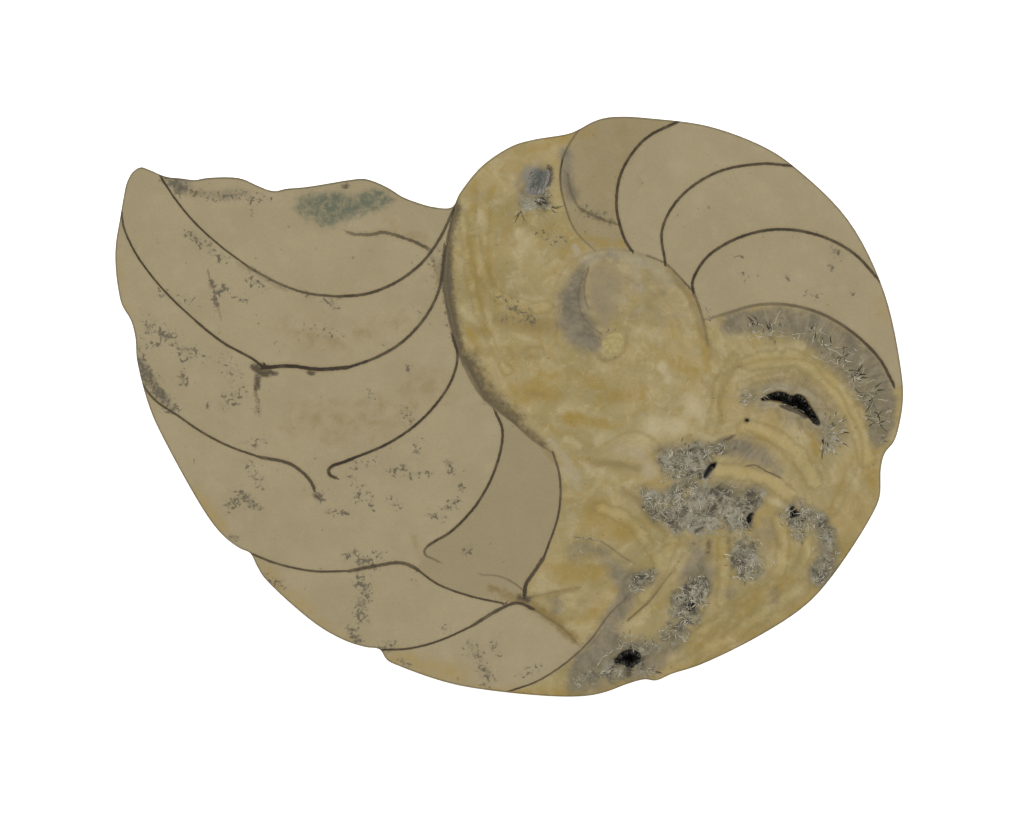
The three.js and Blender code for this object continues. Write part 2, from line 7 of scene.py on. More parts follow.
import bpy
import numpy as np
from bpy.props import FloatProperty, FloatVectorProperty, IntProperty, PointerProperty
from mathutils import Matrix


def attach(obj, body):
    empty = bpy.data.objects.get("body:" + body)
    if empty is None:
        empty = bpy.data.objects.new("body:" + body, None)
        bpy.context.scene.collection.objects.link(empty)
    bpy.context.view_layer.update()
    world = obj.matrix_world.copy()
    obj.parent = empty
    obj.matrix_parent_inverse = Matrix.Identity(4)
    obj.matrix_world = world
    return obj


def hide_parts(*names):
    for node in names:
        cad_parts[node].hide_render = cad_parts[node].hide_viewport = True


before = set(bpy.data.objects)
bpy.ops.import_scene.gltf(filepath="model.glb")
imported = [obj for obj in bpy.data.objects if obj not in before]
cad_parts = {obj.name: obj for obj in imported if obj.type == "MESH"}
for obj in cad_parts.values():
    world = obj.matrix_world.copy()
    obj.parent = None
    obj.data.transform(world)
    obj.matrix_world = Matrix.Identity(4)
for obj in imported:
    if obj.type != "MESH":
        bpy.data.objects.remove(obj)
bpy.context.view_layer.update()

bl_info = {
    "name": "Nautiloid fossil",
    "version": (1, 0, 0),
    "blender": (4, 5, 0),
    "location": "3D View > Sidebar > Fossil",
    "description": "Builds a cut and polished nautiloid with its chambers, calcite, crystals and studio",
    "category": "Add Mesh",
}

MM = 0.001
FACE_HEIGHT = 31.6
TURN = 2 * np.pi

# The coil: a spiral about the pole whose radius grows by the same share in each turn
POLE = np.array([18.5, 11.4])
APERTURE_RADIUS = 90
APERTURE_ANGLE = np.radians(160)
GROWTH_RATE = np.log(2.8) / TURN
NEWER_START = np.radians(50)
OLDER_START = np.radians(230)

# The whorl's section and its umbilicus
HALF_WIDTH_SHARE = 0.47
HALF_WIDTH_LIMIT = 36.5
LIMIT_SHARPNESS = 9
VENTER_SHARE = 0.7
VENTER_INNER_POWER = 2.3
VENTER_OUTER_POWER = 2.1
UMBILICUS_DEPTH = 17
UMBILICUS_INNER_SHARE = 0.05
UMBILICUS_OUTER_SHARE = 0.22

# The broken end, as a steep rough wall that narrows towards the pole
BREAK_STEEPNESS = 9
BREAK_POWER = 0.75
BREAK_WIDTH, BREAK_LEAST_WIDTH = 9, 0.5
BREAK_NARROWING = 0.6
BREAK_ROUGHNESS = 1.6
BREAK_ROUGH_SPACING = 5
BREAK_WALL_ROUGHNESS = 0.1
BREAK_CORNER_SHARPNESS = 6

# The chambers' swell, with the shares of the radius where it begins and where it is full
CHAMBER_SWELL = 0.55
SWELL_START, SWELL_FULL = 0.15, 0.4

# The lines where the partitions meet the flank: how far they bow and reach inwards, how many points each
# has and how these crowd at the outer side, its mark as in the table of partitions, and its groove
SUTURE_LOBE = np.radians(12)
SUTURE_REACH = 0.82
SUTURE_POINTS, SUTURE_CROWDING = 16, 1.8
SUTURE_MARK = (0.34, 1, 0.8)
SUTURE_ANGLES = [166, 187, 210, 233.5, 254, 274, 293, 312, 331, 351, 377, 404.5, 433, 458]
GROOVE_WIDTH = 0.6

# The flank's relief: spacing and height of its lumps, of its fine roughness and of the broken wall's
SURFACE_ROUGHNESS = 0.3
LUMP_SPACING = 6
GRAIN_SPACING = 2.5
SMOOTH_EDGE = 2
FINE_SPACING, FINE_HEIGHT = 1.8, 0.1
BROKEN_SPACING, BROKEN_HEIGHT = 3.4, 0.5
BROKEN_REACH = 10
BROKEN_FADE = 4
BROKEN_START, BROKEN_FULL = -4, 2
FLANK_RIM_SHARE = 0.03
FLANK_RIM_DROP = 0.02

# The mesh: the middles of its rings on the flank and on the cut, the share of the way out that is its
# border, and how near to a hollow's edge a point moves onto it
FLANK_CENTRE = np.array([16.4, -6.0])
CUT_CENTRE = np.array([4.0, -2.0])
BORDER = 1 - 1e-9
EDGE_SNAP = 0.24
RAY_EVENNESS = 0.8
RAYS = 440
RAY_STEPS = 60

# Numbers that the materials read at each point: how fast a place changes along the coil and across it,
# the middle of the calcite's fan and how fast a place changes round it and outwards, the largest
# distance that is kept, the distance where no line is near, how far out lines are looked for, and a
# line's half width where there is none
COIL_ALONG, COIL_ACROSS = 3.2, 11
FAN_CENTRE = np.array([50.5, 0.5])
FAN_AROUND, FAN_OUTWARDS = 16, 0.14
FIELD_LIMIT = 6.0
FAR = 9.0
LINE_REACH = 3
NO_LINE = 0.3
LINE_PARTS = ("offset", "reach", "half", "dark")

# The broken upper edge of the cut, from the tip to where the inner whorl begins
BREAK_EDGE = [
    (-66.3, 43.1), (-64.7, 42.6), (-61.8, 41.4), (-59.3, 41.1), (-56.4, 40.8), (-54.9, 41.1),
    (-50.6, 41.3), (-48.1, 41), (-45.6, 39.9), (-43.4, 39), (-42, 38.8), (-40.2, 39.2),
    (-36.8, 39.5), (-32.3, 40.2), (-28.7, 40.8), (-26.1, 41), (-24, 40.4), (-21.5, 39.2),
    (-19.3, 37.8), (-16.8, 36.8), (-13.5, 35.9),
]

# The outer side of the shell, clockwise from the inner whorl's start round to the tip
VENTER_EDGE = [
    (-10.3, 35.9), (-8.9, 38.4), (-4.9, 43.3), (0.5, 46.9), (4.1, 48), (10.9, 49.2), (12.9, 50.1),
    (14.9, 51.2), (17.4, 52), (20.8, 52.2), (25.3, 51.9), (35.8, 50.5), (46, 46.7), (51.4, 43.1),
    (61, 33.6), (67.5, 20.6), (70.6, 6.2), (70.9, 1.7), (70.4, -2.4), (69.3, -6.2), (67.6, -8.4),
    (66.9, -11.1), (66.7, -16.1), (65.3, -19.5), (58.3, -30.3), (53.4, -35.7), (45.3, -41.1),
    (34.3, -46.5), (29.3, -48.1), (26.4, -49.3), (24.4, -49.1), (21.6, -49.8), (17.6, -51.3),
    (14.5, -52), (9.1, -52.2), (-2.6, -51.2), (-10.7, -49.8), (-19.3, -46.9), (-22, -45.6),
    (-23.3, -43.7), (-25.8, -43.3), (-29.6, -42.1), (-35, -39), (-44, -30.9), (-45.4, -28.7),
    (-46.6, -26.4), (-48.5, -25.5), (-51.2, -23.5), (-54.2, -19.9), (-62, -6.2), (-64.7, -0.3),
    (-67, 8.4), (-67.3, 12.5), (-68.1, 15.5), (-69.7, 18.3), (-70.5, 21.9), (-70.9, 26),
    (-70.8, 29.4), (-70.1, 33.6), (-69.5, 37.2), (-68.8, 40.4), (-67.7, 42.3),
]

# Partitions on the cut: half a width, darkness at the start and at the end, then the points
PARTITIONS = {
    "first outer": (0.22, 1, 0.85, [
        (-62.7, 41.3), (-59.7, 36.8), (-56.2, 32.7), (-52.1, 29), (-46.6, 24.9)]),
    "first smudged": (0.27, 0.65, 0.85, [(-46.6, 24.9), (-41.1, 22), (-36.4, 20.4), (-30.8, 19.8)]),
    "first inner": (0.32, 0.95, 0.8, [
        (-30.8, 19.8), (-25.6, 20.3), (-20.3, 22.4), (-15.9, 25.7), (-12.7, 29.9), (-10.5, 34.4),
        (-9.9, 35.8)]),
    "second outer": (0.22, 0.95, 0.95, [
        (-69.8, 34.8), (-69.3, 32), (-67.3, 27.7), (-64.5, 23.7), (-61, 19.7), (-56.2, 15.2)]),
    "second outer end": (0.27, 0.9, 1, [
        (-56.2, 15.2), (-53.4, 12.9), (-50.7, 11), (-48.2, 9.7), (-45.9, 8.4), (-44.3, 7.1)]),
    "second middle": (0.42, 0.95, 1.1, [(-28.8, 7.1), (-34.1, 6.7), (-39.5, 7.3), (-44.3, 7)]),
    "second inner": (0.32, 0.75, 1, [
        (-11.6, 28.9), (-11.9, 26), (-12.6, 21.1), (-15.1, 16.1), (-19.4, 11.5), (-23.8, 8.9),
        (-28.8, 7.1)]),
    "third outer": (0.24, 0.85, 0.9, [
        (-66.3, 4.4), (-63.8, 1.2), (-59.7, -1.6), (-55.3, -4.6), (-50.5, -7.1), (-44.9, -9.1)]),
    "third bend": (0.36, 0.85, 0.85, [
        (-44.9, -9.1), (-40, -10.1), (-37.6, -11.5), (-35.7, -13.5), (-35.1, -14.8)]),
    "third hook": (0.36, 0.85, 1.1, [
        (-31.2, -12.8), (-32.2, -12.4), (-32.5, -11.4), (-31.7, -10.6), (-30.4, -10.2), (-27.8, -9.2)]),
    "third inner": (0.29, 1, 0.9, [
        (-27.8, -9.2), (-22.5, -7), (-17.7, -4), (-13.6, -0.1), (-10.5, 4.5), (-9.3, 9),
        (-10.2, 12.7)]),
    "fourth outer": (0.24, 0.85, 0.9, [
        (-46.6, -26.4), (-42, -28.2), (-35.4, -29.6), (-28.8, -29.6)]),
    "fourth bend": (0.38, 0.8, 0.85, [
        (-28.8, -29.6), (-23.6, -28.6), (-19.7, -28.1), (-17.2, -28.9), (-16.2, -29.6)]),
    "fourth end": (0.23, 0.9, 0.9, [(-16.2, -29.6), (-12.8, -32), (-6.7, -34.2), (-1.1, -35.4)]),
    "fourth hook": (0.24, 0.35, 0.75, [
        (-12.5, -28), (-13.9, -27.3), (-15, -26.8), (-15.3, -26), (-14.7, -25.1)]),
    "fourth inner": (0.29, 0.95, 0.9, [
        (-14.7, -25.1), (-13, -24), (-10.6, -22.6), (-5.8, -17.5), (-2.4, -10.9),
        (-1.2, -4.4), (-2.5, -0.9)]),
    "fifth inner": (0.25, 0.7, 0.9, [(7.9, -8.4), (9.1, -12.7), (8.9, -19.2), (6.3, -27)]),
    "fifth foot": (0.42, 0.8, 1, [(6.3, -27), (4.4, -29.9), (3, -32), (2.8, -33.8)]),
    "fifth outer": (0.23, 0.9, 0.95, [(-6.7, -39.5), (-12.2, -42), (-17.7, -43.5), (-23.1, -43.8)]),
    "fifth bend": (0.36, 0.9, 0.85, [(4.6, -36.6), (1.5, -35.3), (-1.8, -36.5), (-6.7, -39.5)]),
    "tube side": (0.25, 0.2, 0.35, [(12.8, -43.3), (9.8, -40), (4.6, -36.6)]),
    "sixth": (0.21, 1, 0.3, [
        (0.1, -51.2), (5.1, -49.4), (10.6, -45.8), (14.8, -41.8), (18, -37.4), (21, -34.5)]),
    "seventh": (0.22, 0.5, 0.15, [(21.4, -38.4), (25.5, -34.7), (28.5, -30.7), (30.2, -29.1)]),
    "small arc": (0.22, 0.35, 0.25, [(11.7, -23.5), (16.3, -24.2), (20.7, -27.2), (22.5, -28.2)]),
    "right first": (0.33, 1, 0.35, [
        (69.2, 3.9), (66.7, 8.5), (62, 13.2), (56.2, 16.7), (50.3, 18.3), (44.6, 18.3), (39.5, 16.9),
        (35.6, 15.7)]),
    "right second": (0.32, 0.9, 1, [
        (66.8, 22.5), (62, 27.6), (55.8, 30.8), (48.3, 31.9), (41.3, 30.4), (35.5, 26.8), (33, 22.5),
        (33.1, 20.8)]),
    "right third": (0.30, 0.9, 0.95, [
        (51.2, 43.3), (45.5, 43.7), (37.2, 42.1), (30.6, 37.5), (27.5, 31.7), (28.1, 25.8)]),
    "right fourth": (0.32, 0.95, 1, [
        (30.4, 51.3), (24.5, 48.2), (20.3, 42.4), (19.3, 36.1), (20.7, 30.3), (22, 28.1)]),
    "right fifth": (0.24, 0.45, 0.6, [(12.6, 49.9), (10.6, 46.9), (9.6, 44.6)]),
    "right fifth foot": (0.22, 0.95, 0.25, [
        (9.6, 44.6), (9.2, 42), (9.5, 38.4), (11.8, 31.8), (15.3, 28.2)]),
}

# Walls between the whorls, a crack and a smudged line, in the same form
SEAMS = {
    "broken edge": (0.2, 0.9, 0.8, BREAK_EDGE[2:]),
    "streak by the first partition": (0.2, 0.5, 0.35, [
        (-54.2, 24.4), (-53.7, 22.2), (-53.1, 21), (-52.6, 18.6), (-51.9, 15.9)]),
    "knot tail": (0.4, 0.6, 0.2, [(-45.1, 4.6), (-45.7, 2.5), (-45.2, 0.6), (-44.9, -1.3)]),
    "smudge below the first partition": (0.4, 0.2, 0.25, [
        (-48.8, 25.7), (-45.9, 24.2), (-42.7, 22.2), (-40.2, 21)]),
    "gap between the whorls": (0.3, 0.3, 0.2, [(-14.3, 28.2), (-13.2, 24.9), (-12.8, 22.3)]),
    "dark chip": (0.35, 0.9, 0.9, [(39.2, -5.9), (40.2, -5.4)]),
    "inner wall left": (0.30, 0.1, 0.2, [
        (8.6, 13.8), (8, 20.4), (10.3, 25.3), (15, 27.9), (20.4, 28.2), (24.8, 27.2)]),
    "inner wall right": (0.24, 0.6, 1, [
        (24.8, 27.2), (28.2, 25.7), (31.6, 22.3), (33.2, 20.6)]),
    "inner wall foot": (0.32, 0.85, 0.35, [(33.2, 20.6), (34.2, 17.8), (35.2, 14.3), (35.7, 11.2)]),
    "outer wall": (0.3, 0.9, 0.6, [
        (-9.9, 35.8), (-11.3, 28.7), (-11.9, 22.8), (-10.9, 16.5), (-9.1, 9.6), (-4.6, 1.5), (0.4, -2.5)]),
    "outer wall end": (0.26, 0.55, 0.4, [(0.4, -2.5), (4.3, -6), (7.9, -8.4)]),
    "crack": (0.34, 0.7, 1.1, [
        (-29.3, 31.5), (-28.4, 31.1), (-26.8, 31), (-24.3, 31), (-23.1, 31.4), (-21, 31),
        (-18.1, 30.1), (-14.4, 28.4)]),
    "smudged line": (0.26, 0.45, 0.7, [
        (10.6, 41.6), (10.9, 39.2), (11.8, 37.1), (12.8, 35.6), (15.1, 34.5), (17.4, 33.4), (19.2, 33)]),
    "tube end": (0.2, 0.75, 0.35, [(2.6, -33.2), (1.6, -32.3), (-1.3, -30.7), (-5.3, -30.2)]),
    "crescent line": (0.2, 0.4, 0.55, [(14.2, 17.7), (13.6, 19.7), (13.6, 22.4), (14.2, 24.9)]),
    "crescent fold": (0.2, 0.3, 0.45, [(13.2, 23.6), (12.4, 20.2), (12.8, 17.2), (14.6, 14.6), (16.4, 13.2)]),
    "tube right arm": (0.25, 0.35, 0.15, [(2.7, -34.6), (6.4, -33.7), (12.7, -32.5)]),
    "violet edge": (0.18, 0.7, 0.9, [(42.8, -10.7), (44.2, -10.5), (46.4, -11.7), (48.6, -12.7)]),
}

LINE_POINTS = {name: line[-1] for name, line in {**PARTITIONS, **SEAMS}.items()}

# Thin olive folds in the calcite, in the same form
FOLDS = {
    "right band": (0.36, 0.5, 0.55, [
        (40.3, 6.8), (43.9, 8), (47.7, 8.6), (52.2, 8.5), (54.7, 7.8), (57.2, 4.6), (59.5, 2.6),
        (61.3, -1.2), (63, -4.4), (63.6, -7.8), (63.5, -10.5)]),
    "right band's foot": (0.4, 0.5, 0.4, [(40.3, 6.8), (39.2, 6.2), (38.3, 3.9), (37.9, 0.3), (38.3, -2.6)]),
    "above the violet patch": (0.35, 0.5, 0.35, [
        (42.7, -4.3), (45.3, -5.5), (48.5, -7.6), (51.1, -10.4), (52.7, -13)]),
    "arc by the grey mass": (0.28, 0.35, 0.45, [
        (17, -6.9), (19.6, -5.3), (22.8, -4.5), (25.7, -5.6), (26.9, -6.6)]),
    "below the grey mass": (0.3, 0.5, 0.35, [(21.4, -38.4), (25.5, -34.7), (28.5, -30.7), (31.4, -26.5)]),
    "left of the grey mass": (0.32, 0.4, 0.4, [(16.4, -10), (18.3, -10), (20.5, -10.4), (23.1, -11.4)]),
    "lower right": (0.35, 0.35, 0.3, [
        (52.7, -24.9), (51.1, -29.7), (47.2, -33.3), (43.3, -37.1), (38.8, -41)]),
    "left streak": (0.35, 0.4, 0.4, [(-5.8, 38.6), (-6.3, 30), (-5.6, 21), (-3.6, 13)]),
    "second left streak": (0.32, 0.35, 0.35, [(-3.2, 36), (-3.9, 27.3), (-2.6, 19.4)]),
    "by the chip": (0.35, 0.65, 0.55, [
        (16.2, 9.4), (16.5, 8.6), (17.7, 8.3), (19, 8.6), (20.3, 9.6), (21.1, 11.1), (21.1, 12.6)]),
}

# Open hollows in the cut: depth, how far in the wall slopes down, then the edge
HOLLOWS = {
    "crescent": (5, 1.3, [
        (45.3, 1.1), (46.4, 2.2), (48.4, 2.8), (49.9, 2.6), (50.9, 2), (51.9, 2.4), (53.1, 1.9),
        (54.2, 0.4), (55.2, -1.1), (55.9, -2.5), (56, -3.6), (55, -3.2), (53.9, -2.2), (52.9, -1.4),
        (52.1, -0.9), (50.3, 0), (49, 0.5), (47, 0.9)]),
    "lower": (4.2, 1.3, [
        (18.5, -46.2), (19.3, -45.2), (20.1, -44.3), (21.6, -43.7), (22.8, -43.9), (23.7, -44.5),
        (23.5, -46.2), (22.6, -46.6), (21.8, -47.4), (20.6, -46.5)]),
    "upper": (1.2, 1.6, [
        (2.9, 38.6), (3.2, 40.4), (3.9, 42.2), (5.5, 43.3), (7.2, 42.6), (7.3, 40.8), (6.7, 39.3),
        (6.5, 38.2), (4.8, 37.9)]),
    "pit near the lower edge": (2.5, 0.8, [
        (31.6, -34.7), (32.8, -34.7), (33.5, -36.1), (32.6, -37), (31.8, -36.3)]),
    "right pit": (2.5, 0.8, [(51.1, -17.6), (51.8, -18.7), (52.6, -19.2), (50.9, -20.2), (50.2, -19.6)]),
    "slanted pit": (2.2, 0.7, [
        (37.2, -9.6), (37.4, -10.7), (36.5, -11.7), (35.5, -13), (34.9, -12.8), (35.4, -11.2),
        (36.3, -10.2)]),
    "middle pit": (2, 0.6, [
        (44.2, -19), (43.9, -20.2), (43.3, -21.4), (42.6, -21), (42.8, -19.8), (43.4, -19)]),
    "small pit": (1.8, 0.5, [(42, -2.5), (42.7, -1.9), (43.4, -2.5), (42.7, -3.1)]),
}
# The hollows whose cut is painted near-black: painted shade for the darkness of a deep hole
SHADE_PAINTED_HOLLOWS = [name for name in HOLLOWS if name != "upper"]

# A pale ledge inside the crescent's lower edge, which the hollow's painted shade and its crystals stop short
# of: width, reach, then the line
LEDGE = (0.55, 1.3, [(46.5, 0.95), (48.6, 0.75), (50.3, 0), (52.1, -0.9), (53.4, -1.8)])

# Soft marks on the cut, each list of strokes as half a width, strength and points
YELLOW_BANDS = [
    (2.5, 0.9, [(43.2, 7.8), (46.4, 8.4), (50.4, 8.7), (53.8, 7.7), (56.1, 5.7), (58.5, 3.3), (60.4, 0.6),
        (62.1, -2.2), (63.5, -5.3), (64.2, -9.4)]),
    (2.2, 0.9, [(42.3, -3.7), (46.8, -4.9), (50.4, -7.1), (53.2, -10.3), (54.9, -13.6)]),
    (2.2, 0.9, [(37.2, -11.4), (42.1, -12), (46.8, -13.2), (50.5, -16.1)]),
    (1.5, 0.5, [(41.7, 3.7), (45.1, 5.1), (50.5, 5.5), (55, 3.3), (58.5, -0.3), (61, -4.6)]),
    (2, 0.7, [(38.3, -35.2), (38.8, -29.8), (38.3, -24.4)]),
    (2, 0.7, [(48.7, -29.8), (49.3, -25.1), (48.4, -20.4)]), (1.8, 0.6, [(53.4, -28), (53.8, -23.3)]),
    (2, 0.7, [(16.3, -18.3), (20.3, -19.7), (23.9, -22.9), (26.8, -27.6)]),
    (2.2, 0.7, [(29.3, -24), (27.1, -29.1), (23.9, -34.5)]),
    (2.5, 0.6, [(23.5, -51), (34.3, -44.9), (45.1, -37.7), (52.7, -32.3)]),
    (1.8, 0.45, [(32.5, -42), (41.5, -35.5), (50.9, -27.6)]),
    (1.8, 0.7, [(-6.2, 30), (-5.1, 24.9), (-2.7, 20.6), (1.2, 18.5), (7, 17.7)]),
    (1.5, 0.5, [(-8.3, 34.5), (-7.6, 27.3), (-6.3, 19.9), (-3.8, 12.3), (-0.2, 6.2)]),
    (1.8, 0.4, [(-5.3, 10.2), (0.1, 9.8), (5.5, 9.8)]),
    (2, 0.5, [(40.5, 8.4), (38.3, 4.8), (37.2, 0.5), (36.5, -4.2)]),
    (2, 0.4, [(61.3, -11.4), (59.2, -16.8), (56.3, -20.4)]),
    (1.8, 0.5, [(40.6, -38.4), (37.9, -41.3), (34.3, -43.8)]),
]
OCHRE_PATCHES = [
    (4.3, 0.8, [(1.2, 2.6), (7.7, 3)]), (2.9, 0.5, [(5.5, 6.2), (16.3, 3.9)]),
    (1.6, 0.8, [(10.6, -1.9), (17.4, -3)]), (4.7, 0.7, [(15.6, -19), (20.8, -22.6)]),
    (4, 0.6, [(9.1, -30.3), (16.3, -29.8)]),
    (1.4, 0.6, [(-6.3, 40.8), (-7.1, 31.8), (-6, 21), (-4.2, 12.9)]),
    (1.3, 0.5, [(-3.1, 39), (-3.8, 28.2), (-2.4, 19.2)]), (2.5, 0.5, [(25.3, 9.8), (34.3, 6.2)]),
    (2.2, 0.6, [(50.2, -23.1), (50.5, -27.6)]), (1.6, 0.7, [(37.6, -24), (38.3, -26.9)]),
    (2.9, 0.5, [(59.9, -14.7), (58.8, -20.4)]), (2.3, 0.5, [(32.5, -43.8), (37.9, -40.6)]),
    (2.5, 0.5, [(41.9, -36.6), (50.5, -31.2)]), (2.7, 0.6, [(16.3, 1.5), (23.5, 2.6)]),
    (1.8, 0.5, [(65.3, -8.2), (65.3, -15)]), (1.8, 0.6, [(-7.1, 13.8), (-5.6, 10.2)]),
    (2.9, 0.5, [(-1.7, 15.6), (5.5, 13.8)]), (1.8, 0.5, [(34.3, 5.7), (37.2, 8.4)]),
    (1.8, 0.5, [(12, -39.3), (16.3, -35.5), (19.6, -32.7)]), (1.6, 0.7, [(10.2, 27.8), (16.3, 28.2)]),
    (1.8, 0.5, [(9.1, 31.8), (12.7, 28.9)]), (1.6, 0.5, [(63.1, -8.7), (59.9, -11.4)]),
    (2.2, 0.5, [(1.9, 46.2), (9.1, 48), (14.5, 49.8)]),
    (1.8, 0.5, [(16.3, -51), (25.3, -48.5), (34.3, -45.6), (45.1, -40.2), (54.1, -34.1), (61.3, -24.9)]),
    (1.3, 0.35, [(-64.7, -0.6), (-61.1, -8.2), (-58.2, -13.9)]),
    (1.1, 0.35, [(-70.1, 28.2), (-69.7, 21), (-67.9, 15.9)]),
    (1.3, 0.35, [(-47.7, -26.2), (-45.6, -29.8), (-42, -33.4)]),
    (1.4, 0.3, [(-32.3, -40.6), (-27.6, -42.7)]),
    (3.6, 0.95, [(-20, -44.9), (-14.3, -47.1), (-8.5, -48.5)]),
    (2.2, 0.8, [(-7.1, -50.7), (1.9, -51.7), (12.7, -51.4)]),
    (2.2, 0.75, [(-57.1, -15), (-54.6, -18.3), (-51.7, -21.9)]),
    (2.3, 0.7, [(-44.5, -28.7), (-40.4, -33.4), (-35.9, -37)]),
    (2.2, 0.5, [(-34.1, -38.8), (-28.7, -42)]), (2.2, 0.95, [(10.9, -1.9), (17.1, -3.1)]),
    (2.5, 0.5, [(66.7, 19.2), (67.5, 15.6)]), (1.8, 0.8, [(14, 30.6), (17, 29.4), (20.6, 28.8)]),
    (1, 1, [(54.4, -4.8), (54.9, -6.6), (55.2, -8.4)]),
    (1.8, 0.8, [(34.4, 13.6), (35.4, 9.6), (35.8, 6.4)]),
]
CREAM_PATCHES = [
    (4.7, 0.8, [(25.3, -3.3), (30, -3.9)]), (3.6, 0.7, [(32.5, 1.2), (34.3, -1.7)]),
    (2.5, 0.6, [(16, -6), (19.9, -5.3)]), (2.9, 0.5, [(1.9, 31.8), (5.5, 26.4)]),
    (2.5, 0.5, [(23.5, 13.8), (27.1, 12)]), (4, 0.35, [(61.3, -11.4), (63.5, -16.8)]),
    (2.2, 0.5, [(43.7, 10.2), (52.3, 10.9)]), (1.8, 0.6, [(-5.3, 34.5), (-4.2, 30)]),
    (2.5, 0.5, [(14.5, -11.4), (19.9, -13.2)]), (2.2, 0.4, [(19.6, 19.2), (23.5, 17.4)]),
    (1.8, 0.6, [(18.5, 25.7), (21, 24.9)]), (2.9, 0.4, [(46.9, -38.4), (52.3, -33)]),
    (1.4, 0.6, [(46.9, -16.8), (49.8, -17.9)]), (2.2, 0.5, [(41.5, 4.8), (42.4, 1.9)]),
    (1.8, 0.5, [(1.9, 19.2), (9.1, 18.8)]), (1.4, 0.6, [(10.2, -6), (12.7, -7.1)]),
    (2.2, 0.5, [(25.3, -34.8), (23.5, -38.8)]), (1.2, 0.5, [(44.6, 0.3), (46, 0.2)]),
    (1.4, 0.7, [(36.1, 15.9), (37.2, 13.8), (38.3, 12)]), (1.6, 0.9, [(27.5, 7.3), (28.6, 4.8)]),
]
ASH_PATCHES = [
    (1, 1.2, [(11.7, 29), (12.3, 27.7)]), (2.6, 0.8, [(13.6, 26), (16.3, 27.3), (20.8, 27.6)]),
    (2.6, 0.9, [(20.8, 27), (24.8, 25.6), (28.2, 23)]), (2.4, 0.7, [(22.4, 24.2), (23.6, 21.2)]),
    (1.6, 0.8, [(7.3, -6.3), (9.9, -9), (12.2, -12.6)]), (1.4, 0.8, [(9.9, -11.4), (12.6, -15)]),
    (1.3, 0.9, [(45.4, 2.6), (47.6, 3.7), (50.2, 3.4)]),
    (1, 0.9, [(52.4, 2.9), (54.2, 2), (55.4, 0.4)]), (1, 0.9, [(46.2, 0.4), (48, 0.2)]),
    (1.8, 0.6, [(36.6, 15), (40.4, 12.8)]), (2.4, 0.6, [(20, -7.6), (23.8, -8.6), (25.6, -12)]),
    (2.2, 0.6, [(44.6, -26.4), (45.8, -31.2)]), (2.2, 0.9, [(55.4, -1.8), (57.4, -4.2), (57.6, -7.4)]),
]
BROWN_PATCHES = [
    (1.3, 1, [(36, -24.4), (36, -26)]), (1.1, 0.9, [(39.6, -24.2), (39.6, -25.6)]),
    (1, 0.9, [(41.7, -29.8), (41.9, -30.6)]), (1, 0.9, [(43.8, -29.9), (44, -30.9)]),
    (3.2, 0.8, [(-1.7, 15.9), (3.7, 14.9), (7.7, 14.5)]), (1.8, 0.5, [(-5.3, 13.8), (-4.2, 12.7)]),
    (2.9, 0.6, [(10.6, -27.6), (16.3, -28), (19.6, -31.2)]),
    (1.4, 0.9, [(15.1, -10.2), (18.5, -10.3), (23.5, -11.1)]), (2.2, 0.5, [(39.7, -8.2), (43.7, -8.9)]),
    (1.8, 0.4, [(25.7, 6.2), (28.9, 4.8)]), (1.8, 0.5, [(43.3, -21.1), (44.8, -24.9)]),
    (2.5, 0.5, [(11.8, -34.8), (15.6, -34.8)]), (1.4, 0.6, [(3.2, 2.6), (6.4, 1.9)]),
    (1.4, 0.5, [(25.3, 24.9), (31.5, 21.3)]), (2.9, 0.35, [(23.5, 40.8), (19.9, 49.8)]),
    (1.8, 0.4, [(26.2, 4.8), (28.6, 6.2)]), (1.6, 0.5, [(35.4, 4.4), (37.2, 1.2)]),
    (2.2, 0.5, [(51.4, -38.4), (55.9, -34.8)]), (2.5, 0.35, [(64.2, -11.4), (63.1, -20.4)]),
    (2.5, 0.4, [(35.4, -37.7), (39.7, -34.8)]), (1, 1.2, [(52, -2.2), (52.4, -3.7)]),
    (1.8, 0.7, [(-2.4, 15.2), (0.5, 14.1), (3, 15.2)]), (1.4, 0.7, [(2.7, 34.7), (2.5, 32.9)]),
    (1.6, 0.7, [(3.4, -4.6), (6.4, -7.1), (8.4, -10)]), (1.6, 1.1, [(36.3, -24.2), (35.9, -27.2)]),
    (1.6, 1, [(39.3, -23.8), (39.6, -25.8)]), (1.3, 0.9, [(41.5, -29.3), (42.2, -31.2)]),
    (1.6, 1.1, [(20.5, -15.1), (24.1, -17.5), (25.7, -20.4), (28.2, -22.3)]),
    (1.8, 0.9, [(47.5, -20.9), (48.6, -24.5)]), (1, 1, [(48.2, -0.7), (48.7, -2.1)]),
    (1.6, 1.1, [(28.6, 24.4), (31.8, 21), (33.8, 16.6), (35, 12.6)]),
    (1.4, 1.2, [(63, 0.7), (65, 0.2)]), (1.3, 0.8, [(15.6, 9.6), (16.9, 8.4)]),
    (1.1, 0.8, [(35.1, 13.8), (36, 11.1), (36.3, 8.9)]),
    (1.6, 0.6, [(46, -20.4), (47.3, -22.2), (46.6, -24.7)]),
    (2, 0.75, [(-0.2, -34.5), (3, -34.8), (6.4, -37)]),
    (1.8, 0.8, [(4.8, -35.9), (8.4, -38.8), (11.7, -42)]),
    (1.4, 0.5, [(3.7, -34.5), (8.4, -33.7), (12.7, -32.7)]),
    (1.3, 0.6, [(-16.4, -25.1), (-16.1, -27.3), (-17.1, -23.3)]),
    (2.2, 0.55, [(-21.1, 32.9), (-18.9, 31.4), (-15.3, 30)]),
    (5.4, 0.42, [(-41.3, 13.8), (-30.5, 12), (-19.7, 15.6)]),
    (7.6, 0.45, [(-37.7, -2.4), (-25.1, -2.4), (-14.3, 3)]), (2.2, 0.6, [(-13.9, 26), (-12.5, 22.4)]),
    (1.8, 0.6, [(-60, 39.3), (-52.1, 37.5)]), (2.2, 0.5, [(-66.1, 7.3), (-62.9, 2.3)]),
]
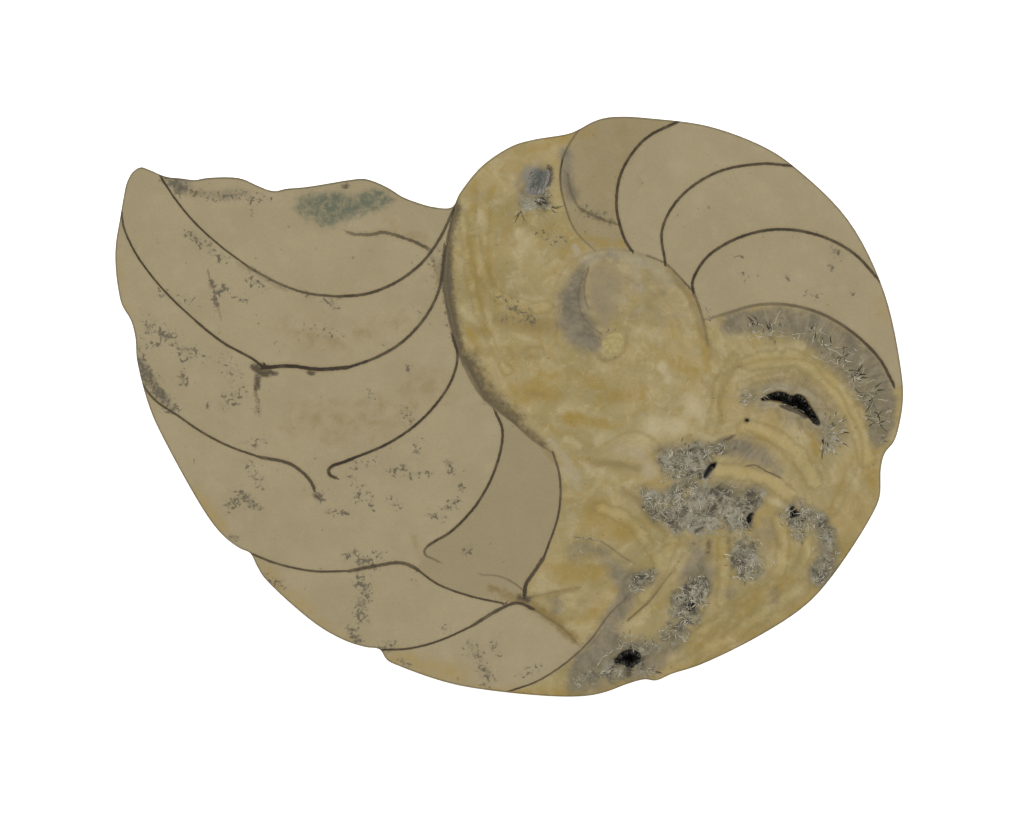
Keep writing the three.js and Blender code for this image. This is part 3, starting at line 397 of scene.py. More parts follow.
WALL_BANDS = [
    (2.2, 0.95, [(-9.8, 35.9), (-11.2, 31.4), (-11.4, 26), (-11, 19.2), (-9.9, 12.9), (-9, 9.5),
        (-7.8, 7.7), (-6.3, 4.4), (-4.4, 1.4), (-2.2, -0.8), (0.7, -3)]),
    (1.8, 0.6, [(0.7, -3), (3.7, -4.9), (6, -7)]),
    (3.2, 0.6, [(-7.1, 8.4), (-4.9, 3.9), (-2, 0.6), (1.2, -2.1)]),
]
DARK_SPECKS = [
    (1.3, 1, [(-62.3, 41), (-59.3, 39.5), (-57.5, 38.6)]), (2, 1.4, [(-61, 40.6), (-58.6, 38.9)]),
    (2, 1.4, [(-66, 6.5), (-63.5, 3), (-60.5, -0.2)]),
    (2.6, 0.9, [(-64.2, 13.8), (-60.5, 12), (-58, 9.4)]),
    (0.9, 1.6, [(-53.7, 22.6), (-53.1, 20.2), (-52.7, 17.9)]), (1.3, 1.2, [(-52.2, 20.6), (-51.4, 21)]),
    (1.4, 0.8, [(-53.6, 28.6), (-52, 27), (-50.6, 26.6)]), (1.5, 0.8, [(-46.8, 22.7), (-44, 21.4)]),
    (1.4, 0.8, [(-57.5, 38.4), (-53, 37.9), (-48.5, 37.7)]), (1.4, 0.9, [(-49.2, 38.1), (-45.6, 37.4)]),
    (1.1, 0.7, [(-46.7, 37.2), (-46.1, 35)]), (1.1, 0.6, [(-45.6, 37.9), (-42, 37.2)]),
    (1.3, 0.8, [(-58, 31.6), (-55.1, 28.9)]), (1.6, 0.95, [(-54, 28.9), (-52.4, 27.1)]),
    (0.9, 0.6, [(-48.5, 25.3), (-44.5, 23.9), (-40.5, 21.7)]), (1.1, 0.7, [(-37.7, 21), (-36, 19.9)]),
    (1.3, 0.7, [(-33.3, 19.4), (-31.5, 18.1)]), (1.1, 0.8, [(-51.7, 21.5), (-50.3, 20.8)]),
    (1.1, 0.6, [(-49, 19.7), (-47.2, 19.2)]), (2.3, 0.55, [(-64.7, 15.2), (-63.2, 11.1)]),
    (2, 0.7, [(-61.4, 12.3), (-58.9, 9.8)]), (1.6, 1.1, [(-66.6, 8.4), (-65.7, 5.1)]),
    (2, 1.1, [(-64.5, 5.1), (-62.9, 2.6), (-61.1, 1)]), (1.6, 0.6, [(-66.5, 12), (-65.4, 9.1)]),
    (1.3, 1.2, [(-58.7, 5.9), (-58.5, 4.4)]), (1.4, 0.6, [(-56.7, 10.2), (-54.8, 8.7)]),
    (0.9, 0.8, [(-54.2, 0.5), (-53.9, -0.6)]), (2.5, 0.5, [(-51.7, 8.4), (-48.5, 3), (-51, 0.8)]),
    (0.9, 0.7, [(-45.6, 4.4), (-45.4, -1)]), (1.6, 0.5, [(-57.5, 19.2), (-62.9, 20.6)]),
    (1.6, 0.4, [(-37.7, 14.5), (-30.5, 12.7)]), (1.2, 1.3, [(-18.2, 6.8), (-18, 6.6)]),
    (1.1, 0.8, [(-25.2, 2.3), (-24.9, 1)]), (1.3, 0.8, [(-18.8, -0.6), (-17.9, -3.1)]),
    (1.4, 0.7, [(-14.1, 27.5), (-13.2, 24.6), (-12.8, 21.5)]), (1.6, 0.5, [(-12.5, 21.3), (-13.9, 22.8)]),
    (1.1, 1, [(-46.3, -6.7), (-45.6, -7.3)]), (0.9, 0.6, [(-48.5, -6.2), (-43.8, -6)]),
    (1.6, 0.7, [(-47, -10.7), (-44.5, -13.9)]), (1.8, 1.1, [(-48.5, -15.4), (-46.3, -17.7)]),
    (1.6, 0.9, [(-50.6, -18.3), (-48.8, -16.8)]), (1.1, 1.1, [(-45.9, -17.9), (-44.7, -18.3)]),
    (1.2, 1.2, [(-34.2, -15.6), (-33.7, -17)]), (1.1, 0.9, [(-32.4, -18.8), (-29.2, -19.5)]),
    (0.9, 1, [(-24.9, -16.1), (-24.5, -18.3)]), (1.4, 0.7, [(-21.8, -12.1), (-19.3, -11.4)]),
    (1.3, 1.1, [(-18.9, -11.4), (-17.9, -12.5)]), (1.3, 0.7, [(-17.1, -12.1), (-14.6, -12.1)]),
    (1.3, 0.8, [(-21.8, -16.8), (-20, -17.9)]),
    (1.6, 0.5, [(-28.3, -13.2), (-26.5, -15.4), (-27.6, -16.8)]),
    (1.4, 0.7, [(-17, -8.2), (-16.1, -6.4)]), (1.4, 1.1, [(-10.7, -10.3), (-10.1, -11.8)]),
    (1.1, 1, [(-8.7, -14.1), (-8.3, -14.7)]), (1.6, 0.95, [(-11.4, -17.9), (-8.9, -17.2)]),
    (1.3, 0.9, [(-14.3, -19.2), (-11.7, -20.6)]), (1.4, 0.95, [(-8, -26.2), (-6.9, -25.6)]),
    (1.4, 0.5, [(-28.3, -10.7), (-24, -10)]), (2.2, 1.1, [(-26.5, -27.6), (-24.7, -28.7)]),
    (2.2, 1.1, [(-27.2, -30.9), (-25.8, -33.4), (-26.5, -35.5)]),
    (1.6, 1.1, [(-27.4, -35.9), (-26.5, -38.8)]), (1.8, 1.1, [(-28.3, -39.9), (-27.6, -42)]),
    (1.4, 0.7, [(-24.3, -26.2), (-22.7, -26.9)]), (1.6, 1, [(-22.9, -43.1), (-21.1, -43.1)]),
    (1.1, 1, [(-11.9, -39.9), (-11.2, -40.6)]), (1.4, 0.5, [(-17.1, -31.4), (-16.1, -31.8)]),
    (1.4, 0.9, [(-29.4, -26.9), (-27.6, -26.2)]), (2, 0.8, [(-7.1, -43.1), (-5.3, -45.6)]),
    (1.8, 1.1, [(-4.9, -47.1), (-3.5, -48.5)]), (1.3, 1, [(-4.2, -49.9), (-3.8, -50.5)]),
    (1.4, 0.6, [(1.9, -48.1), (5.9, -46.9)]), (1.4, 0.5, [(-1.7, -44.2), (-3.1, -42.4)]),
    (1.1, 1, [(-50.1, -23.5), (-48.8, -24.2)]), (1.4, 1, [(-43.2, -30.9), (-41.1, -32.3)]),
    (1.1, 0.9, [(-19.7, -45.6), (-18.4, -46.5)]), (1.1, 0.7, [(-57.5, -19.7), (-55.7, -20.4)]),
    (1.3, 1, [(-11.9, 28.9), (-11.4, 22.8), (-10.7, 17), (-9.8, 11.1)]),
    (1.6, 0.9, [(-1.7, 19.2), (1.2, 17.7), (4.1, 15.2)]),
    (1.4, 0.7, [(-0.9, 15.6), (1.9, 15.9), (3.7, 17)]), (1.3, 0.8, [(8.4, 29.6), (10.6, 30)]),
    (1.1, 0.7, [(17.8, 13.2), (19.2, 13.6)]), (1.1, 0.7, [(17.4, 9.5), (18.5, 8.9)]),
    (1.1, 0.8, [(35.2, 17.7), (36, 16.1)]), (0.9, 0.9, [(50, 23.3), (50.2, 23.1)]),
    (0.9, 0.9, [(58.1, 25.1), (58.3, 24.9)]), (1.3, 0.6, [(41.5, 24.2), (42.3, 23.1)]),
    (1.1, 0.6, [(53.4, 20.6), (56.3, 19.5)]), (1.3, 0.8, [(58.5, 28.2), (59.5, 27.1)]),
    (0.9, 0.9, [(57.9, 25.3), (58.3, 24.8)]), (0.9, 0.8, [(62.2, 20.4), (62.4, 20.1)]),
    (0.9, 0.7, [(41.2, 26.9), (41.5, 26.6)]), (0.9, 0.8, [(50, 23.3), (50.4, 22.8)]),
    (1.3, 0.6, [(46.2, 12.3), (47.3, 12)]), (1.4, 0.6, [(5.5, 31.4), (7, 30.3)]),
    (1.1, 0.8, [(39.6, -7.8), (40.8, -7.3)]), (1.5, 1, [(13, 35.6), (15.3, 34.7), (17.8, 33.5)]),
]
BLUE_GREY = [
    (3.2, 1, [(4, 41.6), (5.2, 41.2), (4.2, 39.4)]),
]
TUBE_STREAKS = [
    (1.4, 0.65, [(-3.4, -32.6), (-1, -33.4), (1.9, -34.5), (4.6, -36.2)]),
    (1.2, 0.5, [(-1.6, -35), (0.8, -34.7), (3, -34.6)]),
    (1.4, 0.5, [(3, -34.7), (8, -33.6), (12.4, -32.6)]),
    (2, 0.8, [(4, -35.8), (7.6, -38.2), (11.6, -41.8)]),
]
DARK_BLOTS = [
    (1.8, 1.4, [(-44.9, 6.9), (-43.8, 6.4)]), (1.1, 0.8, [(-46.2, 7.1), (-45.2, 6.7)]),
    (0.9, 0.7, [(-43.2, 6.1), (-42, 5.9)]), (1, 0.8, [(-36.1, 6.2), (-35.2, 6)]),
    (1.2, 0.8, [(-45.3, 5.2), (-45.5, 3.4)]), (1.3, 0.8, [(2, -34.4), (3.4, -34.8)]),
    (1, 0.7, [(-35, -15.8), (-34.3, -16.6)]), (1, 0.8, [(7.2, 43.2), (7.5, 41.6), (6.9, 39.9)]),
    (0.9, 0.7, [(5.2, 36.6), (6.6, 36.9)]),
    (0.9, 1.4, [(49.3, 0.25), (51, -0.35), (52.3, -0.9), (53.4, -1.6)]),
    (1.1, 0.5, [(12.9, 35.3), (14.8, 34.4), (17, 33.6)]), (0.8, 0.8, [(18.8, -46.6), (18.4, -48.2)]),
    (1, 1, [(21.5, -46.2), (21.5, -48.4)]), (0.8, 0.8, [(-29.6, 39.6), (-29, 39.7)]),
    (0.9, 0.4, [(-22.4, 37.6), (-20.6, 37.3)]), (1.3, 0.42, [(36, -24.4), (36, -26.2)]),
    (1.2, 0.4, [(39.5, -24.2), (39.6, -25.6)]), (1, 0.42, [(41.7, -29.8), (41.9, -30.6)]),
    (1, 0.4, [(43.8, -29.9), (44, -30.9)]),
]
PALE_CHIP = [(19, 13.6), (20, 13.2), (20.6, 12.4), (20.5, 11.1), (19.8, 9.9), (18.7, 9.1),
             (17.9, 9.1), (16.7, 9.2), (17.1, 10.3), (16.6, 11.4), (17.1, 12.4), (17.9, 13.1)]

# Soft-edged areas: width of the edge, strength, then the corners
GREY_AREAS = [
    (1.3, 0.85, [(38.5, 16.5), (41.5, 17.2), (48.2, 18.3), (54.1, 17.4), (59.9, 14.7), (64.2, 11.4),
        (67.5, 7.7), (69.1, 4.2), (69.8, 0.5), (69.5, -2.8), (68.2, -5.9), (66.2, -7.6), (64.9, -6.2),
        (64.3, -3.6), (63.8, -0.6), (62.1, 2.1), (59.9, 4.8), (57, 7.6), (54.5, 10.2), (52, 12),
        (49.6, 13), (46, 13.2), (41.5, 13), (38.3, 13.4)]),
    (1, 0.45, [(55.7, -4.4), (57.2, -4.1), (58.2, -5.4), (57.9, -7.2), (56.4, -7.8), (55.5, -6.4)]),
    (1.3, 0.75, [(-61.9, 41.4), (-59.5, 41.9), (-57.2, 41), (-56.8, 39.2), (-58.8, 38.3), (-60.6, 39.6)]),
    (1.2, 0.4, [(-58.6, 38.6), (-53.7, 39.4), (-46, 39.6), (-44.6, 38.4), (-49, 37.4), (-55, 37.3)]),
    (1, 0.9, [(-67, 9), (-65.6, 8), (-64.4, 5.6), (-65.4, 4.8), (-66.6, 6.4)]),
    (1, 0.7, [(-64.9, 4.6), (-62.6, 3.2), (-60.6, 1.4), (-61.2, 0.2), (-63.4, 1.6)]),
    (1.2, 1.2, [(15.6, -43.4), (17.4, -41.3), (19.2, -40.6), (20.3, -42.4), (19.6, -43.8), (18.1, -44.7),
        (17.4, -46.3), (15.6, -47.8), (13.6, -48.5), (12.4, -47.1), (13.8, -44.9)]),
    (1.6, 0.7, [(21.2, -38.3), (20.2, -42.2), (23.2, -42.5), (27.2, -43.3), (26.7, -45.1), (23.9, -46.6),
        (23.9, -48.8), (21.2, -49.5), (14.7, -51.7), (12.5, -51.3), (10, -49.1), (11.6, -46.7),
        (15.8, -43.6), (18.4, -40.3)]),
    (0.8, 1, [(37, -6.4), (38.6, -5.2), (39.8, -5.6), (38.9, -7.6), (37.4, -7.8)]),
    (1, 0.33, [(14.4, 27.9), (9.9, 23.5), (7.8, 19), (8.6, 13.2), (10.7, 10.3), (14.4, 9.3),
        (16.2, 9.6), (17.5, 14.5), (22, 15.5), (28, 14), (33, 12.5), (34, 16), (32.5, 20.8),
        (28.5, 25.4), (22.5, 28.2), (18, 28.9)]),
    (2, 0.98, [(15, 26.6), (12.6, 25.4), (9.6, 21.6), (8.6, 17.9), (8.9, 14), (10.8, 11.2),
        (13.6, 9.9), (16.2, 9.9), (16.9, 12), (16, 14.3), (14.7, 17.4), (14, 21), (14.2, 24.2)]),
    (2.2, 1.15, [(9.3, 16.6), (11.4, 18.4), (13.6, 18), (14.6, 15), (16.6, 12.3), (16, 10),
        (13.4, 10.1), (10.9, 11.8)]),
    (1.2, 0.55, [(15.5, 27.6), (18.5, 28.3), (22, 28.2), (23.5, 27), (20.5, 26.4), (17, 26.3)]),
    (1.9, 0.8, [(38.5, -6), (40.8, -5.3), (44.6, -6), (47.1, -7.6), (49.3, -10.2), (48.7, -12.1),
        (46.6, -11.6), (43.7, -10.7), (40.5, -9.4), (38.3, -8.5)]),
    (2.4, 0.55, [(40.3, 1.9), (43, 4.1), (47.8, 5.9), (52.7, 5.9), (56.7, 3.3), (59.2, -0.3),
        (61.5, -3.5), (61, -7.1), (58.1, -8.9), (55.6, -7.8), (53.8, -4.9), (49.8, -3.5), (46, -1.3),
        (42.4, -1)]),
    (1.6, 0.7, [(35.4, -13.4), (39.7, -13), (44.2, -13.9), (46.6, -15.7), (44.4, -16.8), (39.7, -16.3),
        (35.1, -15.9)]),
    (1.6, 0.9, [(53.4, -17.9), (56.3, -19), (58.3, -22.2), (59.5, -25.5), (58.8, -30.1), (56.7, -32.8),
        (54.3, -31.9), (53.8, -29.1), (55.4, -26.2), (54.9, -22.9), (52.9, -20.4)]),
    (1.6, 0.8, [(32.5, -24.2), (34.9, -24.4), (35.8, -27.6), (37.2, -29.8), (37, -32.3), (35.4, -34.5),
        (32.5, -34.5), (30.4, -32.7), (31.3, -28.7), (32.2, -26.2)]),
    (1.6, 0.9, [(18.5, -28), (20.8, -28.7), (24.4, -29.6), (27.3, -30), (26.4, -31.8), (23.7, -33.2),
        (22.6, -35.4), (20.7, -38.4), (18.5, -41.5), (16.7, -44.2), (14.5, -47.4), (12, -51.4),
        (10.4, -50.8), (10.9, -46.3), (13.5, -42.7), (16, -39.5), (17.8, -35.9), (19.2, -33),
        (18.1, -30.1)]),
    (1.6, 0.55, [(10.2, -25.6), (12.7, -24.2), (16.3, -24.6), (19.2, -26), (20.7, -28.3), (19.2, -29.6),
        (16.3, -28.9), (13.5, -27.6), (10.9, -28)]),
    (2.2, 0.85, [(15.6, -45.3), (18.5, -42), (23.5, -41.7), (27.5, -42.7), (29.7, -40.2), (32.5, -40.9),
        (31.5, -43.1), (28.6, -45.6), (27.1, -47.8), (22.8, -49.2), (17.4, -49.9), (13.5, -51.4),
        (10.9, -51.4), (12.4, -48.1)]),
    (1.6, 0.7, [(6.8, -34.5), (9.1, -34.1), (10.4, -35.9), (9.1, -37.7), (7.2, -37)]),
    (1.6, 0.5, [(37.6, -32.3), (40.8, -31.9), (42.3, -33.7), (39.7, -35.2), (37.6, -34.5)]),
    (1.3, 0.5, [(46.6, -32.3), (48.4, -31.9), (49.1, -34.5), (47.7, -36.6), (46.2, -35.5)]),
    (1.6, 0.9, [(9.1, 46.2), (10.6, 46.9), (11.7, 44.4), (11.5, 40.8), (12.4, 37.9), (11.3, 36.5),
        (9.7, 39), (9.3, 42.6)]),
    (1.6, 0.5, [(43.7, -23.3), (46.2, -20.4), (48, -21.9), (47.3, -25.5), (45.5, -26.2), (44.1, -25.1)]),
    (1.9, 0.7, [(1.4, 41), (2.6, 43.6), (5.2, 44.4), (7.3, 43), (7.7, 40), (6.8, 36.6), (3.6, 35.8),
        (1.6, 38)]),
    (2.2, 0.6, [(26.2, -7.3), (31.5, -5.7), (37.2, -6), (36.5, -10), (35.4, -13.6), (28.6, -13.2),
        (26.1, -10)]),
]
GREEN_STAIN = [
    (1.3, 1.15, [(-36.6, 36.1), (-35.5, 37.5), (-32.3, 38.4), (-29.6, 38.1), (-27.6, 36.5), (-29.2, 34.3),
        (-32.6, 33), (-35.3, 33.9)]),
    (1.1, 0.95, [(-27.6, 37.2), (-25.8, 38.8), (-23, 38.9), (-21.6, 37.2), (-23.3, 35.6), (-26.8, 35.2)]),
    (1.6, 0.8, [(-37.6, 37.6), (-34.7, 38.3), (-30.5, 37.8), (-26.4, 38.2), (-23.5, 39), (-21, 37.4),
        (-22.3, 36.1), (-26.4, 34.5), (-30.5, 33), (-33.4, 32.4), (-35.9, 33.6), (-38.4, 35.3)]),
]

# Fibrous calcite: sprays of needles, needles in each, least and most length, spread in degrees, the
# point that they grow away from or None, the ground's strength, then the corners of the area
FIBROUS_AREAS = [
    (16, 3, 1.2, 3, 50, (49.8, -0.3), 0.3, [(42.3, 13.8), (47.8, 14.7), (53.4, 14.1), (56.3, 12.7),
        (54.9, 10.9), (50.5, 11.8), (45.5, 12.5)]),
    (38, 3, 1.2, 3.2, 140, (49.8, -0.3), 0.35, [(53.8, 13.8), (56.7, 12.5), (59.9, 10.2), (62.6, 7.8),
        (64.9, 5.3), (67.5, 2.8), (69.4, 0.5), (69.4, -2.4), (67.6, -5.7), (65.5, -7.1), (64.4, -4.2),
        (63.9, -0.6), (62.1, 2.1), (59.9, 4.8), (57, 7.1), (54.5, 9.8)]),
    (64, 2, 0.9, 2, 14, (56.6, -4.5), 0.7, [(56.6, -3.2), (57.6, -2.3), (59, -2.9), (59.6, -4.6),
        (59.3, -6.4), (58, -7.7), (56.7, -7.2), (56.4, -5.4)]),
    (8, 4, 0.6, 1.5, 60, (50.5, 0.6), 0.6, [(42.3, 2.6), (44, 3), (45, 1.4), (44.2, 0.3),
        (42.5, 0.7)]),
    (50, 4, 0.6, 2.1, 360, None, 1, [(26.6, -8.2), (28.6, -6.9), (31.8, -7.3), (34.3, -6.7), (36.5, -7.1),
        (39, -6.6), (38.7, -8.2), (36.5, -9.4), (35.6, -13), (33.6, -13.4), (31.5, -13.2),
        (28.9, -12.9), (27.5, -11.2)]),
    (105, 4, 0.6, 2.4, 360, None, 1, [(22.6, -15), (25.3, -14.5), (27.5, -15.4), (29.1, -13.9),
        (33.6, -13), (35.8, -14.7), (38.3, -14.3), (41.9, -15.4), (44.6, -14.5), (46.2, -15.7),
        (44.8, -17.7), (43.7, -19.2), (43.3, -21.7), (42.6, -23.3), (40.8, -22.9), (38.3, -21.3),
        (36.5, -22), (34.3, -23.8), (31.8, -23.1), (29.1, -22.6), (27, -21), (24.8, -18.6)]),
    (38, 4, 0.72, 2.4, 360, None, 1, [(40.5, -22.2), (42.3, -21.5), (43.3, -23.3), (44.8, -25.6),
        (45.7, -28), (44.6, -30.5), (42.8, -31.8), (41.2, -30), (39.6, -26.9), (41.2, -24.9)]),
    (40, 4, 0.6, 1.9, 360, None, 1, [(48.9, -18.4), (50.9, -17), (53.4, -17.4), (54.9, -19.3),
        (53.8, -21.1), (53.1, -23.3), (51.8, -23.7), (50.4, -22), (48.9, -20.2)]),
    (45, 3, 0.48, 1.4, 360, None, 1, [(53.8, -18.3), (55.9, -19.3), (58.1, -22.6), (58.8, -25.5),
        (58.1, -29.4), (56.3, -32.3), (54.7, -31.2), (54.9, -28.7), (56.3, -25.8), (55.6, -22.9)]),
    (56, 4, 0.72, 2.2, 360, None, 1, [(31.8, -32.3), (33.6, -30.1), (35.8, -31.2), (36.1, -33.4),
        (34.7, -36.3), (34.3, -38.8), (32.2, -40), (29.8, -38.2), (28.8, -35.9), (29.8, -33.7)]),
    (30, 3, 0.6, 1.5, 360, None, 1, [(29.8, -38.1), (32.4, -39.9), (30.9, -41.7), (28.4, -43.1),
        (26.4, -43.8), (25.5, -42.6), (27.9, -40.4)]),
    (42, 4, 0.97, 2.6, 80, (20.8, -45.6), 0.8, [(16.7, -46.3), (18.1, -43.8), (20.7, -42), (23.5, -42.6),
        (25.3, -43.8), (24.6, -46.3), (25.7, -48.5), (22.8, -49.2), (18.5, -49.6), (16.3, -48.5)]),
    (14, 3, 0.6, 1.5, 360, None, 0.8, [(11.1, -51.4), (12.2, -48.9), (14.9, -47.6), (17.4, -47.4),
        (16.9, -49.6), (14.2, -51)]),
    (13, 3, 0.48, 1.5, 360, None, 1, [(21.6, -30.9), (23.5, -29.6), (26.4, -29.6), (25.3, -31.2),
        (22.5, -33)]),
    (17, 4, 1.2, 3.2, 60, (3.2, 37.9), 1, [(2.3, 38.3), (4.1, 37.2), (6.6, 38.3), (7.3, 36.8), (5.5, 35.4),
        (2.7, 35.7)]),
]

# The ground of the fibrous calcite, with the strengths where its drop begins and where it is full, and
# its roughness
FIBROUS_EDGE = 2.0
FIBROUS_GROUND = [(FIBROUS_EDGE, area[-2], area[-1]) for area in FIBROUS_AREAS]
GROUND_START, GROUND_FULL = 0.3, 0.9
GROUND_SPACING, GROUND_ROUGHNESS = 2.2, 0.5

# How a hollow's wall falls and how lumpy its bottom is, and how far around it points are looked for
HOLLOW_POWER = 0.7
HOLLOW_LUMPS, HOLLOW_LUMP_SPACING = 0.12, 0.9
HOLLOW_MARGIN = 1

# Places drawn at random for each spray or crystal that is wanted
DRAWS = 6

# Sprays of needles: how far inside its area a spray lies and how far it strays, how widely its needles'
# roots are spread, and the clumps that the sprays stand in
SPRAY_INSIDE, SPRAY_STRAY = 0.1, 0.9
SPRAY_SIZE = 0.08
CLUMP_SPACING, CLUMP_LEVEL, CLUMP_BLUR = 3.2, -0.15, 0.3

# Needles: their radii, with a power that makes most of them thin, their rise, the depth of their roots,
# how clear of the rim they stay and how far over a hollow's edge they may begin, their bend, the share
# of it and of the radius at each of the three rings, and how far they stand above the cut
NEEDLE_THINNEST, NEEDLE_THICKEST, NEEDLE_THINNESS = 0.045, 0.12, 1.4
NEEDLE_RISE, NEEDLE_RISE_SPREAD = 0.06, 0.1
NEEDLE_DEEPEST, NEEDLE_SUNK = 0.9, 0.01
NEEDLE_CLEARANCE, NEEDLE_OVERHANG = 0.35, 0.1
NEEDLE_BEND = 0.16
NEEDLE_BULGES = (0.75, 1.0, 0.75)
NEEDLE_PROUD = 0.03
LONG_NEEDLE_RADIUS = 0.1
LONG_NEEDLE_OVERLAP = 0.25

# Crystals: how far inside the edge they stand, the step that their wall's slope is measured over, how
# upright and how scattered they are, the smallest one's size, where they are widest, how deep their
# roots lie and how far below the cut they end
CRYSTAL_INSIDE = 0.05
CRYSTAL_STEP = 0.2
CRYSTAL_UPRIGHT = 1.3
CRYSTAL_SCATTER = 0.45
CRYSTAL_SMALLEST = 0.5
CRYSTAL_WAIST = 0.3
CRYSTAL_SUNK = 0.1
CRYSTAL_CLEARANCE = 0.03

# The studio: the floor in millimetres; each light's name, place in metres and share of the power
FLOOR_REACH, FLOOR_HEIGHT = 1500.0, -0.1
LIGHT_SIZE = 0.9
LIGHTS = (
    ("left light", (-0.95, 0.35, 0.95), 1.0), ("right light", (0.95, 0.35, 0.95), 1.0),
    ("near light", (0.1, -1.0, 0.95), 0.8), ("far light", (-0.1, 1.05, 0.9), 0.8),
)
CAMERA_SHIFT = (0.0005, -0.00052)
FOCAL_LENGTH, SENSOR_WIDTH = 100, 36

# Long needles that are drawn one by one
LONG_NEEDLES = [
    [(42.6, -22), (43.7, -24), (45.7, -26.2), (47.8, -28.2)],
    [(43.2, -23.2), (45.2, -24.4), (46.8, -26.6), (48, -28.6)],
    [(12, -23.8), (14.2, -23.6), (16.5, -24.2)],
    [(10.9, -24.6), (12.2, -25.6), (13.6, -26.7)],
    [(21.9, -40.1), (22.2, -42), (22.4, -44.2)],
    [(43.6, 13.2), (45.6, 12.6), (48, 12.8), (51.4, 12.6)],
    [(42.6, 12.6), (44.6, 13.4), (46.6, 12.9)],
    [(60.4, 10.6), (62, 9.4), (63.6, 9)],
    [(61.4, 6.2), (62.8, 4.6), (64.8, 5)],
    [(43.8, 1.2), (45.6, 1.9), (46.9, 1.4)],
    [(40.2, -30.9), (42.2, -30.4), (44, -30.9)],
    [(52.5, -3.6), (52, -5), (51.7, -6.3)],
    [(48.7, 0.5), (50.4, 0.22), (51.8, -0.25), (53.2, -0.95)],
    [(61, 3.8), (61.6, 4.8), (62.7, 5.7), (64, 5.9)],
    [(62.7, 2.2), (63.4, 1.7), (64.3, 2.4), (65.4, 2), (66.3, 1.3), (67.6, 1.1), (68.6, 1.3)],
    [(65.4, 2), (65.6, 0.9), (65.2, 0.2)],
    [(66.3, -2.4), (67.3, -3), (68, -2.6), (68.7, -2.8)],
    [(67.2, -3), (66.4, -3.5), (66, -4.4)],
    [(64.3, 4.2), (65.4, 4.8), (66.2, 4.7)],
    [(59.6, 3.8), (61, 3.7)],
    [(47.3, 14.4), (48.2, 16.1), (48.8, 17.2)],
    [(42.9, 12.2), (45.6, 12.6), (48.2, 13.5), (50.8, 13.3), (53.4, 13.1)],
    [(55.6, 12.6), (56, 11.3), (58.2, 10.5), (60, 9.2)],
    [(54.7, 9.2), (56.9, 8.3), (59.1, 7.8)],
    [(62.2, 10.5), (63.5, 9.2), (63, 7.4)],
    [(55.6, 14.8), (55.8, 13.5), (57.2, 13)],
    [(47, 13), (46.2, 14.2), (44.6, 14.9)],
    [(66.2, -0.4), (66.6, -1.6), (67.6, -2)],
    [(45.7, 2.4), (46.7, 3.15), (48.7, 3.4), (50.5, 3)],
    [(17.3, -44.9), (19, -43.6), (21, -43), (23, -43.3), (24.6, -44.6)],
    [(19.6, -41.6), (20.6, -42.6), (22.2, -42.8)],
    [(16, -46.6), (17, -45), (18.6, -44.4)],
    [(27.6, -17.5), (28.6, -16.6), (30.2, -16.9), (30.8, -18.2)],
    [(27.3, -19.1), (28.6, -20.4), (30.5, -20.7), (31.4, -22)],
    [(34.7, -23), (35.6, -22.3), (37.2, -22.7), (38.5, -23.3)],
    [(40.1, -17.8), (41.7, -19.1), (42.1, -21.7), (41.7, -23.3)],
    [(28.9, -10.8), (30.5, -10.1), (32.4, -10.4), (34.3, -9.2)],
    [(33.1, -32.3), (34.3, -32), (35.6, -30.7)],
    [(30.5, -32.6), (32.4, -33.3), (34, -34.9)],
    [(3.6, 36.4), (4.6, 37.1), (5.4, 37.6)],
    [(4.6, 36.7), (5.9, 37.1), (7.4, 37.3)],
    [(5.2, 37.4), (6.4, 37.9), (7.2, 37.9)],
    [(4.2, 36.2), (4.6, 37.6)],
]


def smoothstep(value, low=0.0, high=1.0):
    """0 below low, 1 above high, and a smooth S between them."""
    share = np.clip((value - low) / (high - low), 0, 1)
    return share * share * (3 - 2 * share)


def lerp(low, high, share):
    """The point at a share of the way from low to high."""
    return low + (high - low) * share


def noise(x, y):
    """Smooth noise between -1 and 1: random values at whole numbers, joined by a smooth S each way."""
    i, j = np.floor(x), np.floor(y)
    u, v = smoothstep(x - i), smoothstep(y - j)

    def value(a, b):
        s = np.sin(a * 127.1 + b * 311.7) * 43758.5453
        return 2 * (s - np.floor(s)) - 1

    low = lerp(value(i, j), value(i + 1, j), u)
    high = lerp(value(i, j + 1), value(i + 1, j + 1), u)
    return lerp(low, high, v)


def rough(x, y, size, layers):
    """Layers of noise, each half as wide and half as strong as the one before."""
    total = 0.0
    for layer in range(layers):
        spacing = size / 2 ** layer
        total = total + noise(x / spacing + 17.3 * layer, y / spacing - 9.1 * layer) / 2 ** layer
    return total


def curve_through(points, closed=False, pieces=8):
    """A centripetal Catmull-Rom curve through points, as a chain of close points."""
    p = np.asarray(points, float)
    if closed:
        p = np.concatenate([p[-1:], p, p[:2]])
    else:
        p = np.concatenate([2 * p[:1] - p[1:2], p, 2 * p[-1:] - p[-2:-1]])
    a, b, c, d = p[:-3, None], p[1:-2, None], p[2:-1, None], p[3:, None]
    before, between, after = (
        np.sqrt(np.linalg.norm(q - r, axis=2, keepdims=True)) for q, r in ((b, a), (c, b), (d, c))
    )
    start = ((b - a) / before - (c - a) / (before + between) + (c - b) / between) * between
    end = ((c - b) / between - (d - b) / (between + after) + (d - c) / after) * between
    w = (np.arange(pieces) / pieces)[None, :, None]
    curve = b + start * w + (3 * (c - b) - 2 * start - end) * w ** 2 + (2 * (b - c) + start + end) * w ** 3
    return np.concatenate([curve.reshape(-1, 2), p[-2:-1]])


def polygon_through(points, pieces=4):
    """A smooth closed polygon through points."""
    return curve_through(points, closed=True, pieces=pieces)[:-1]


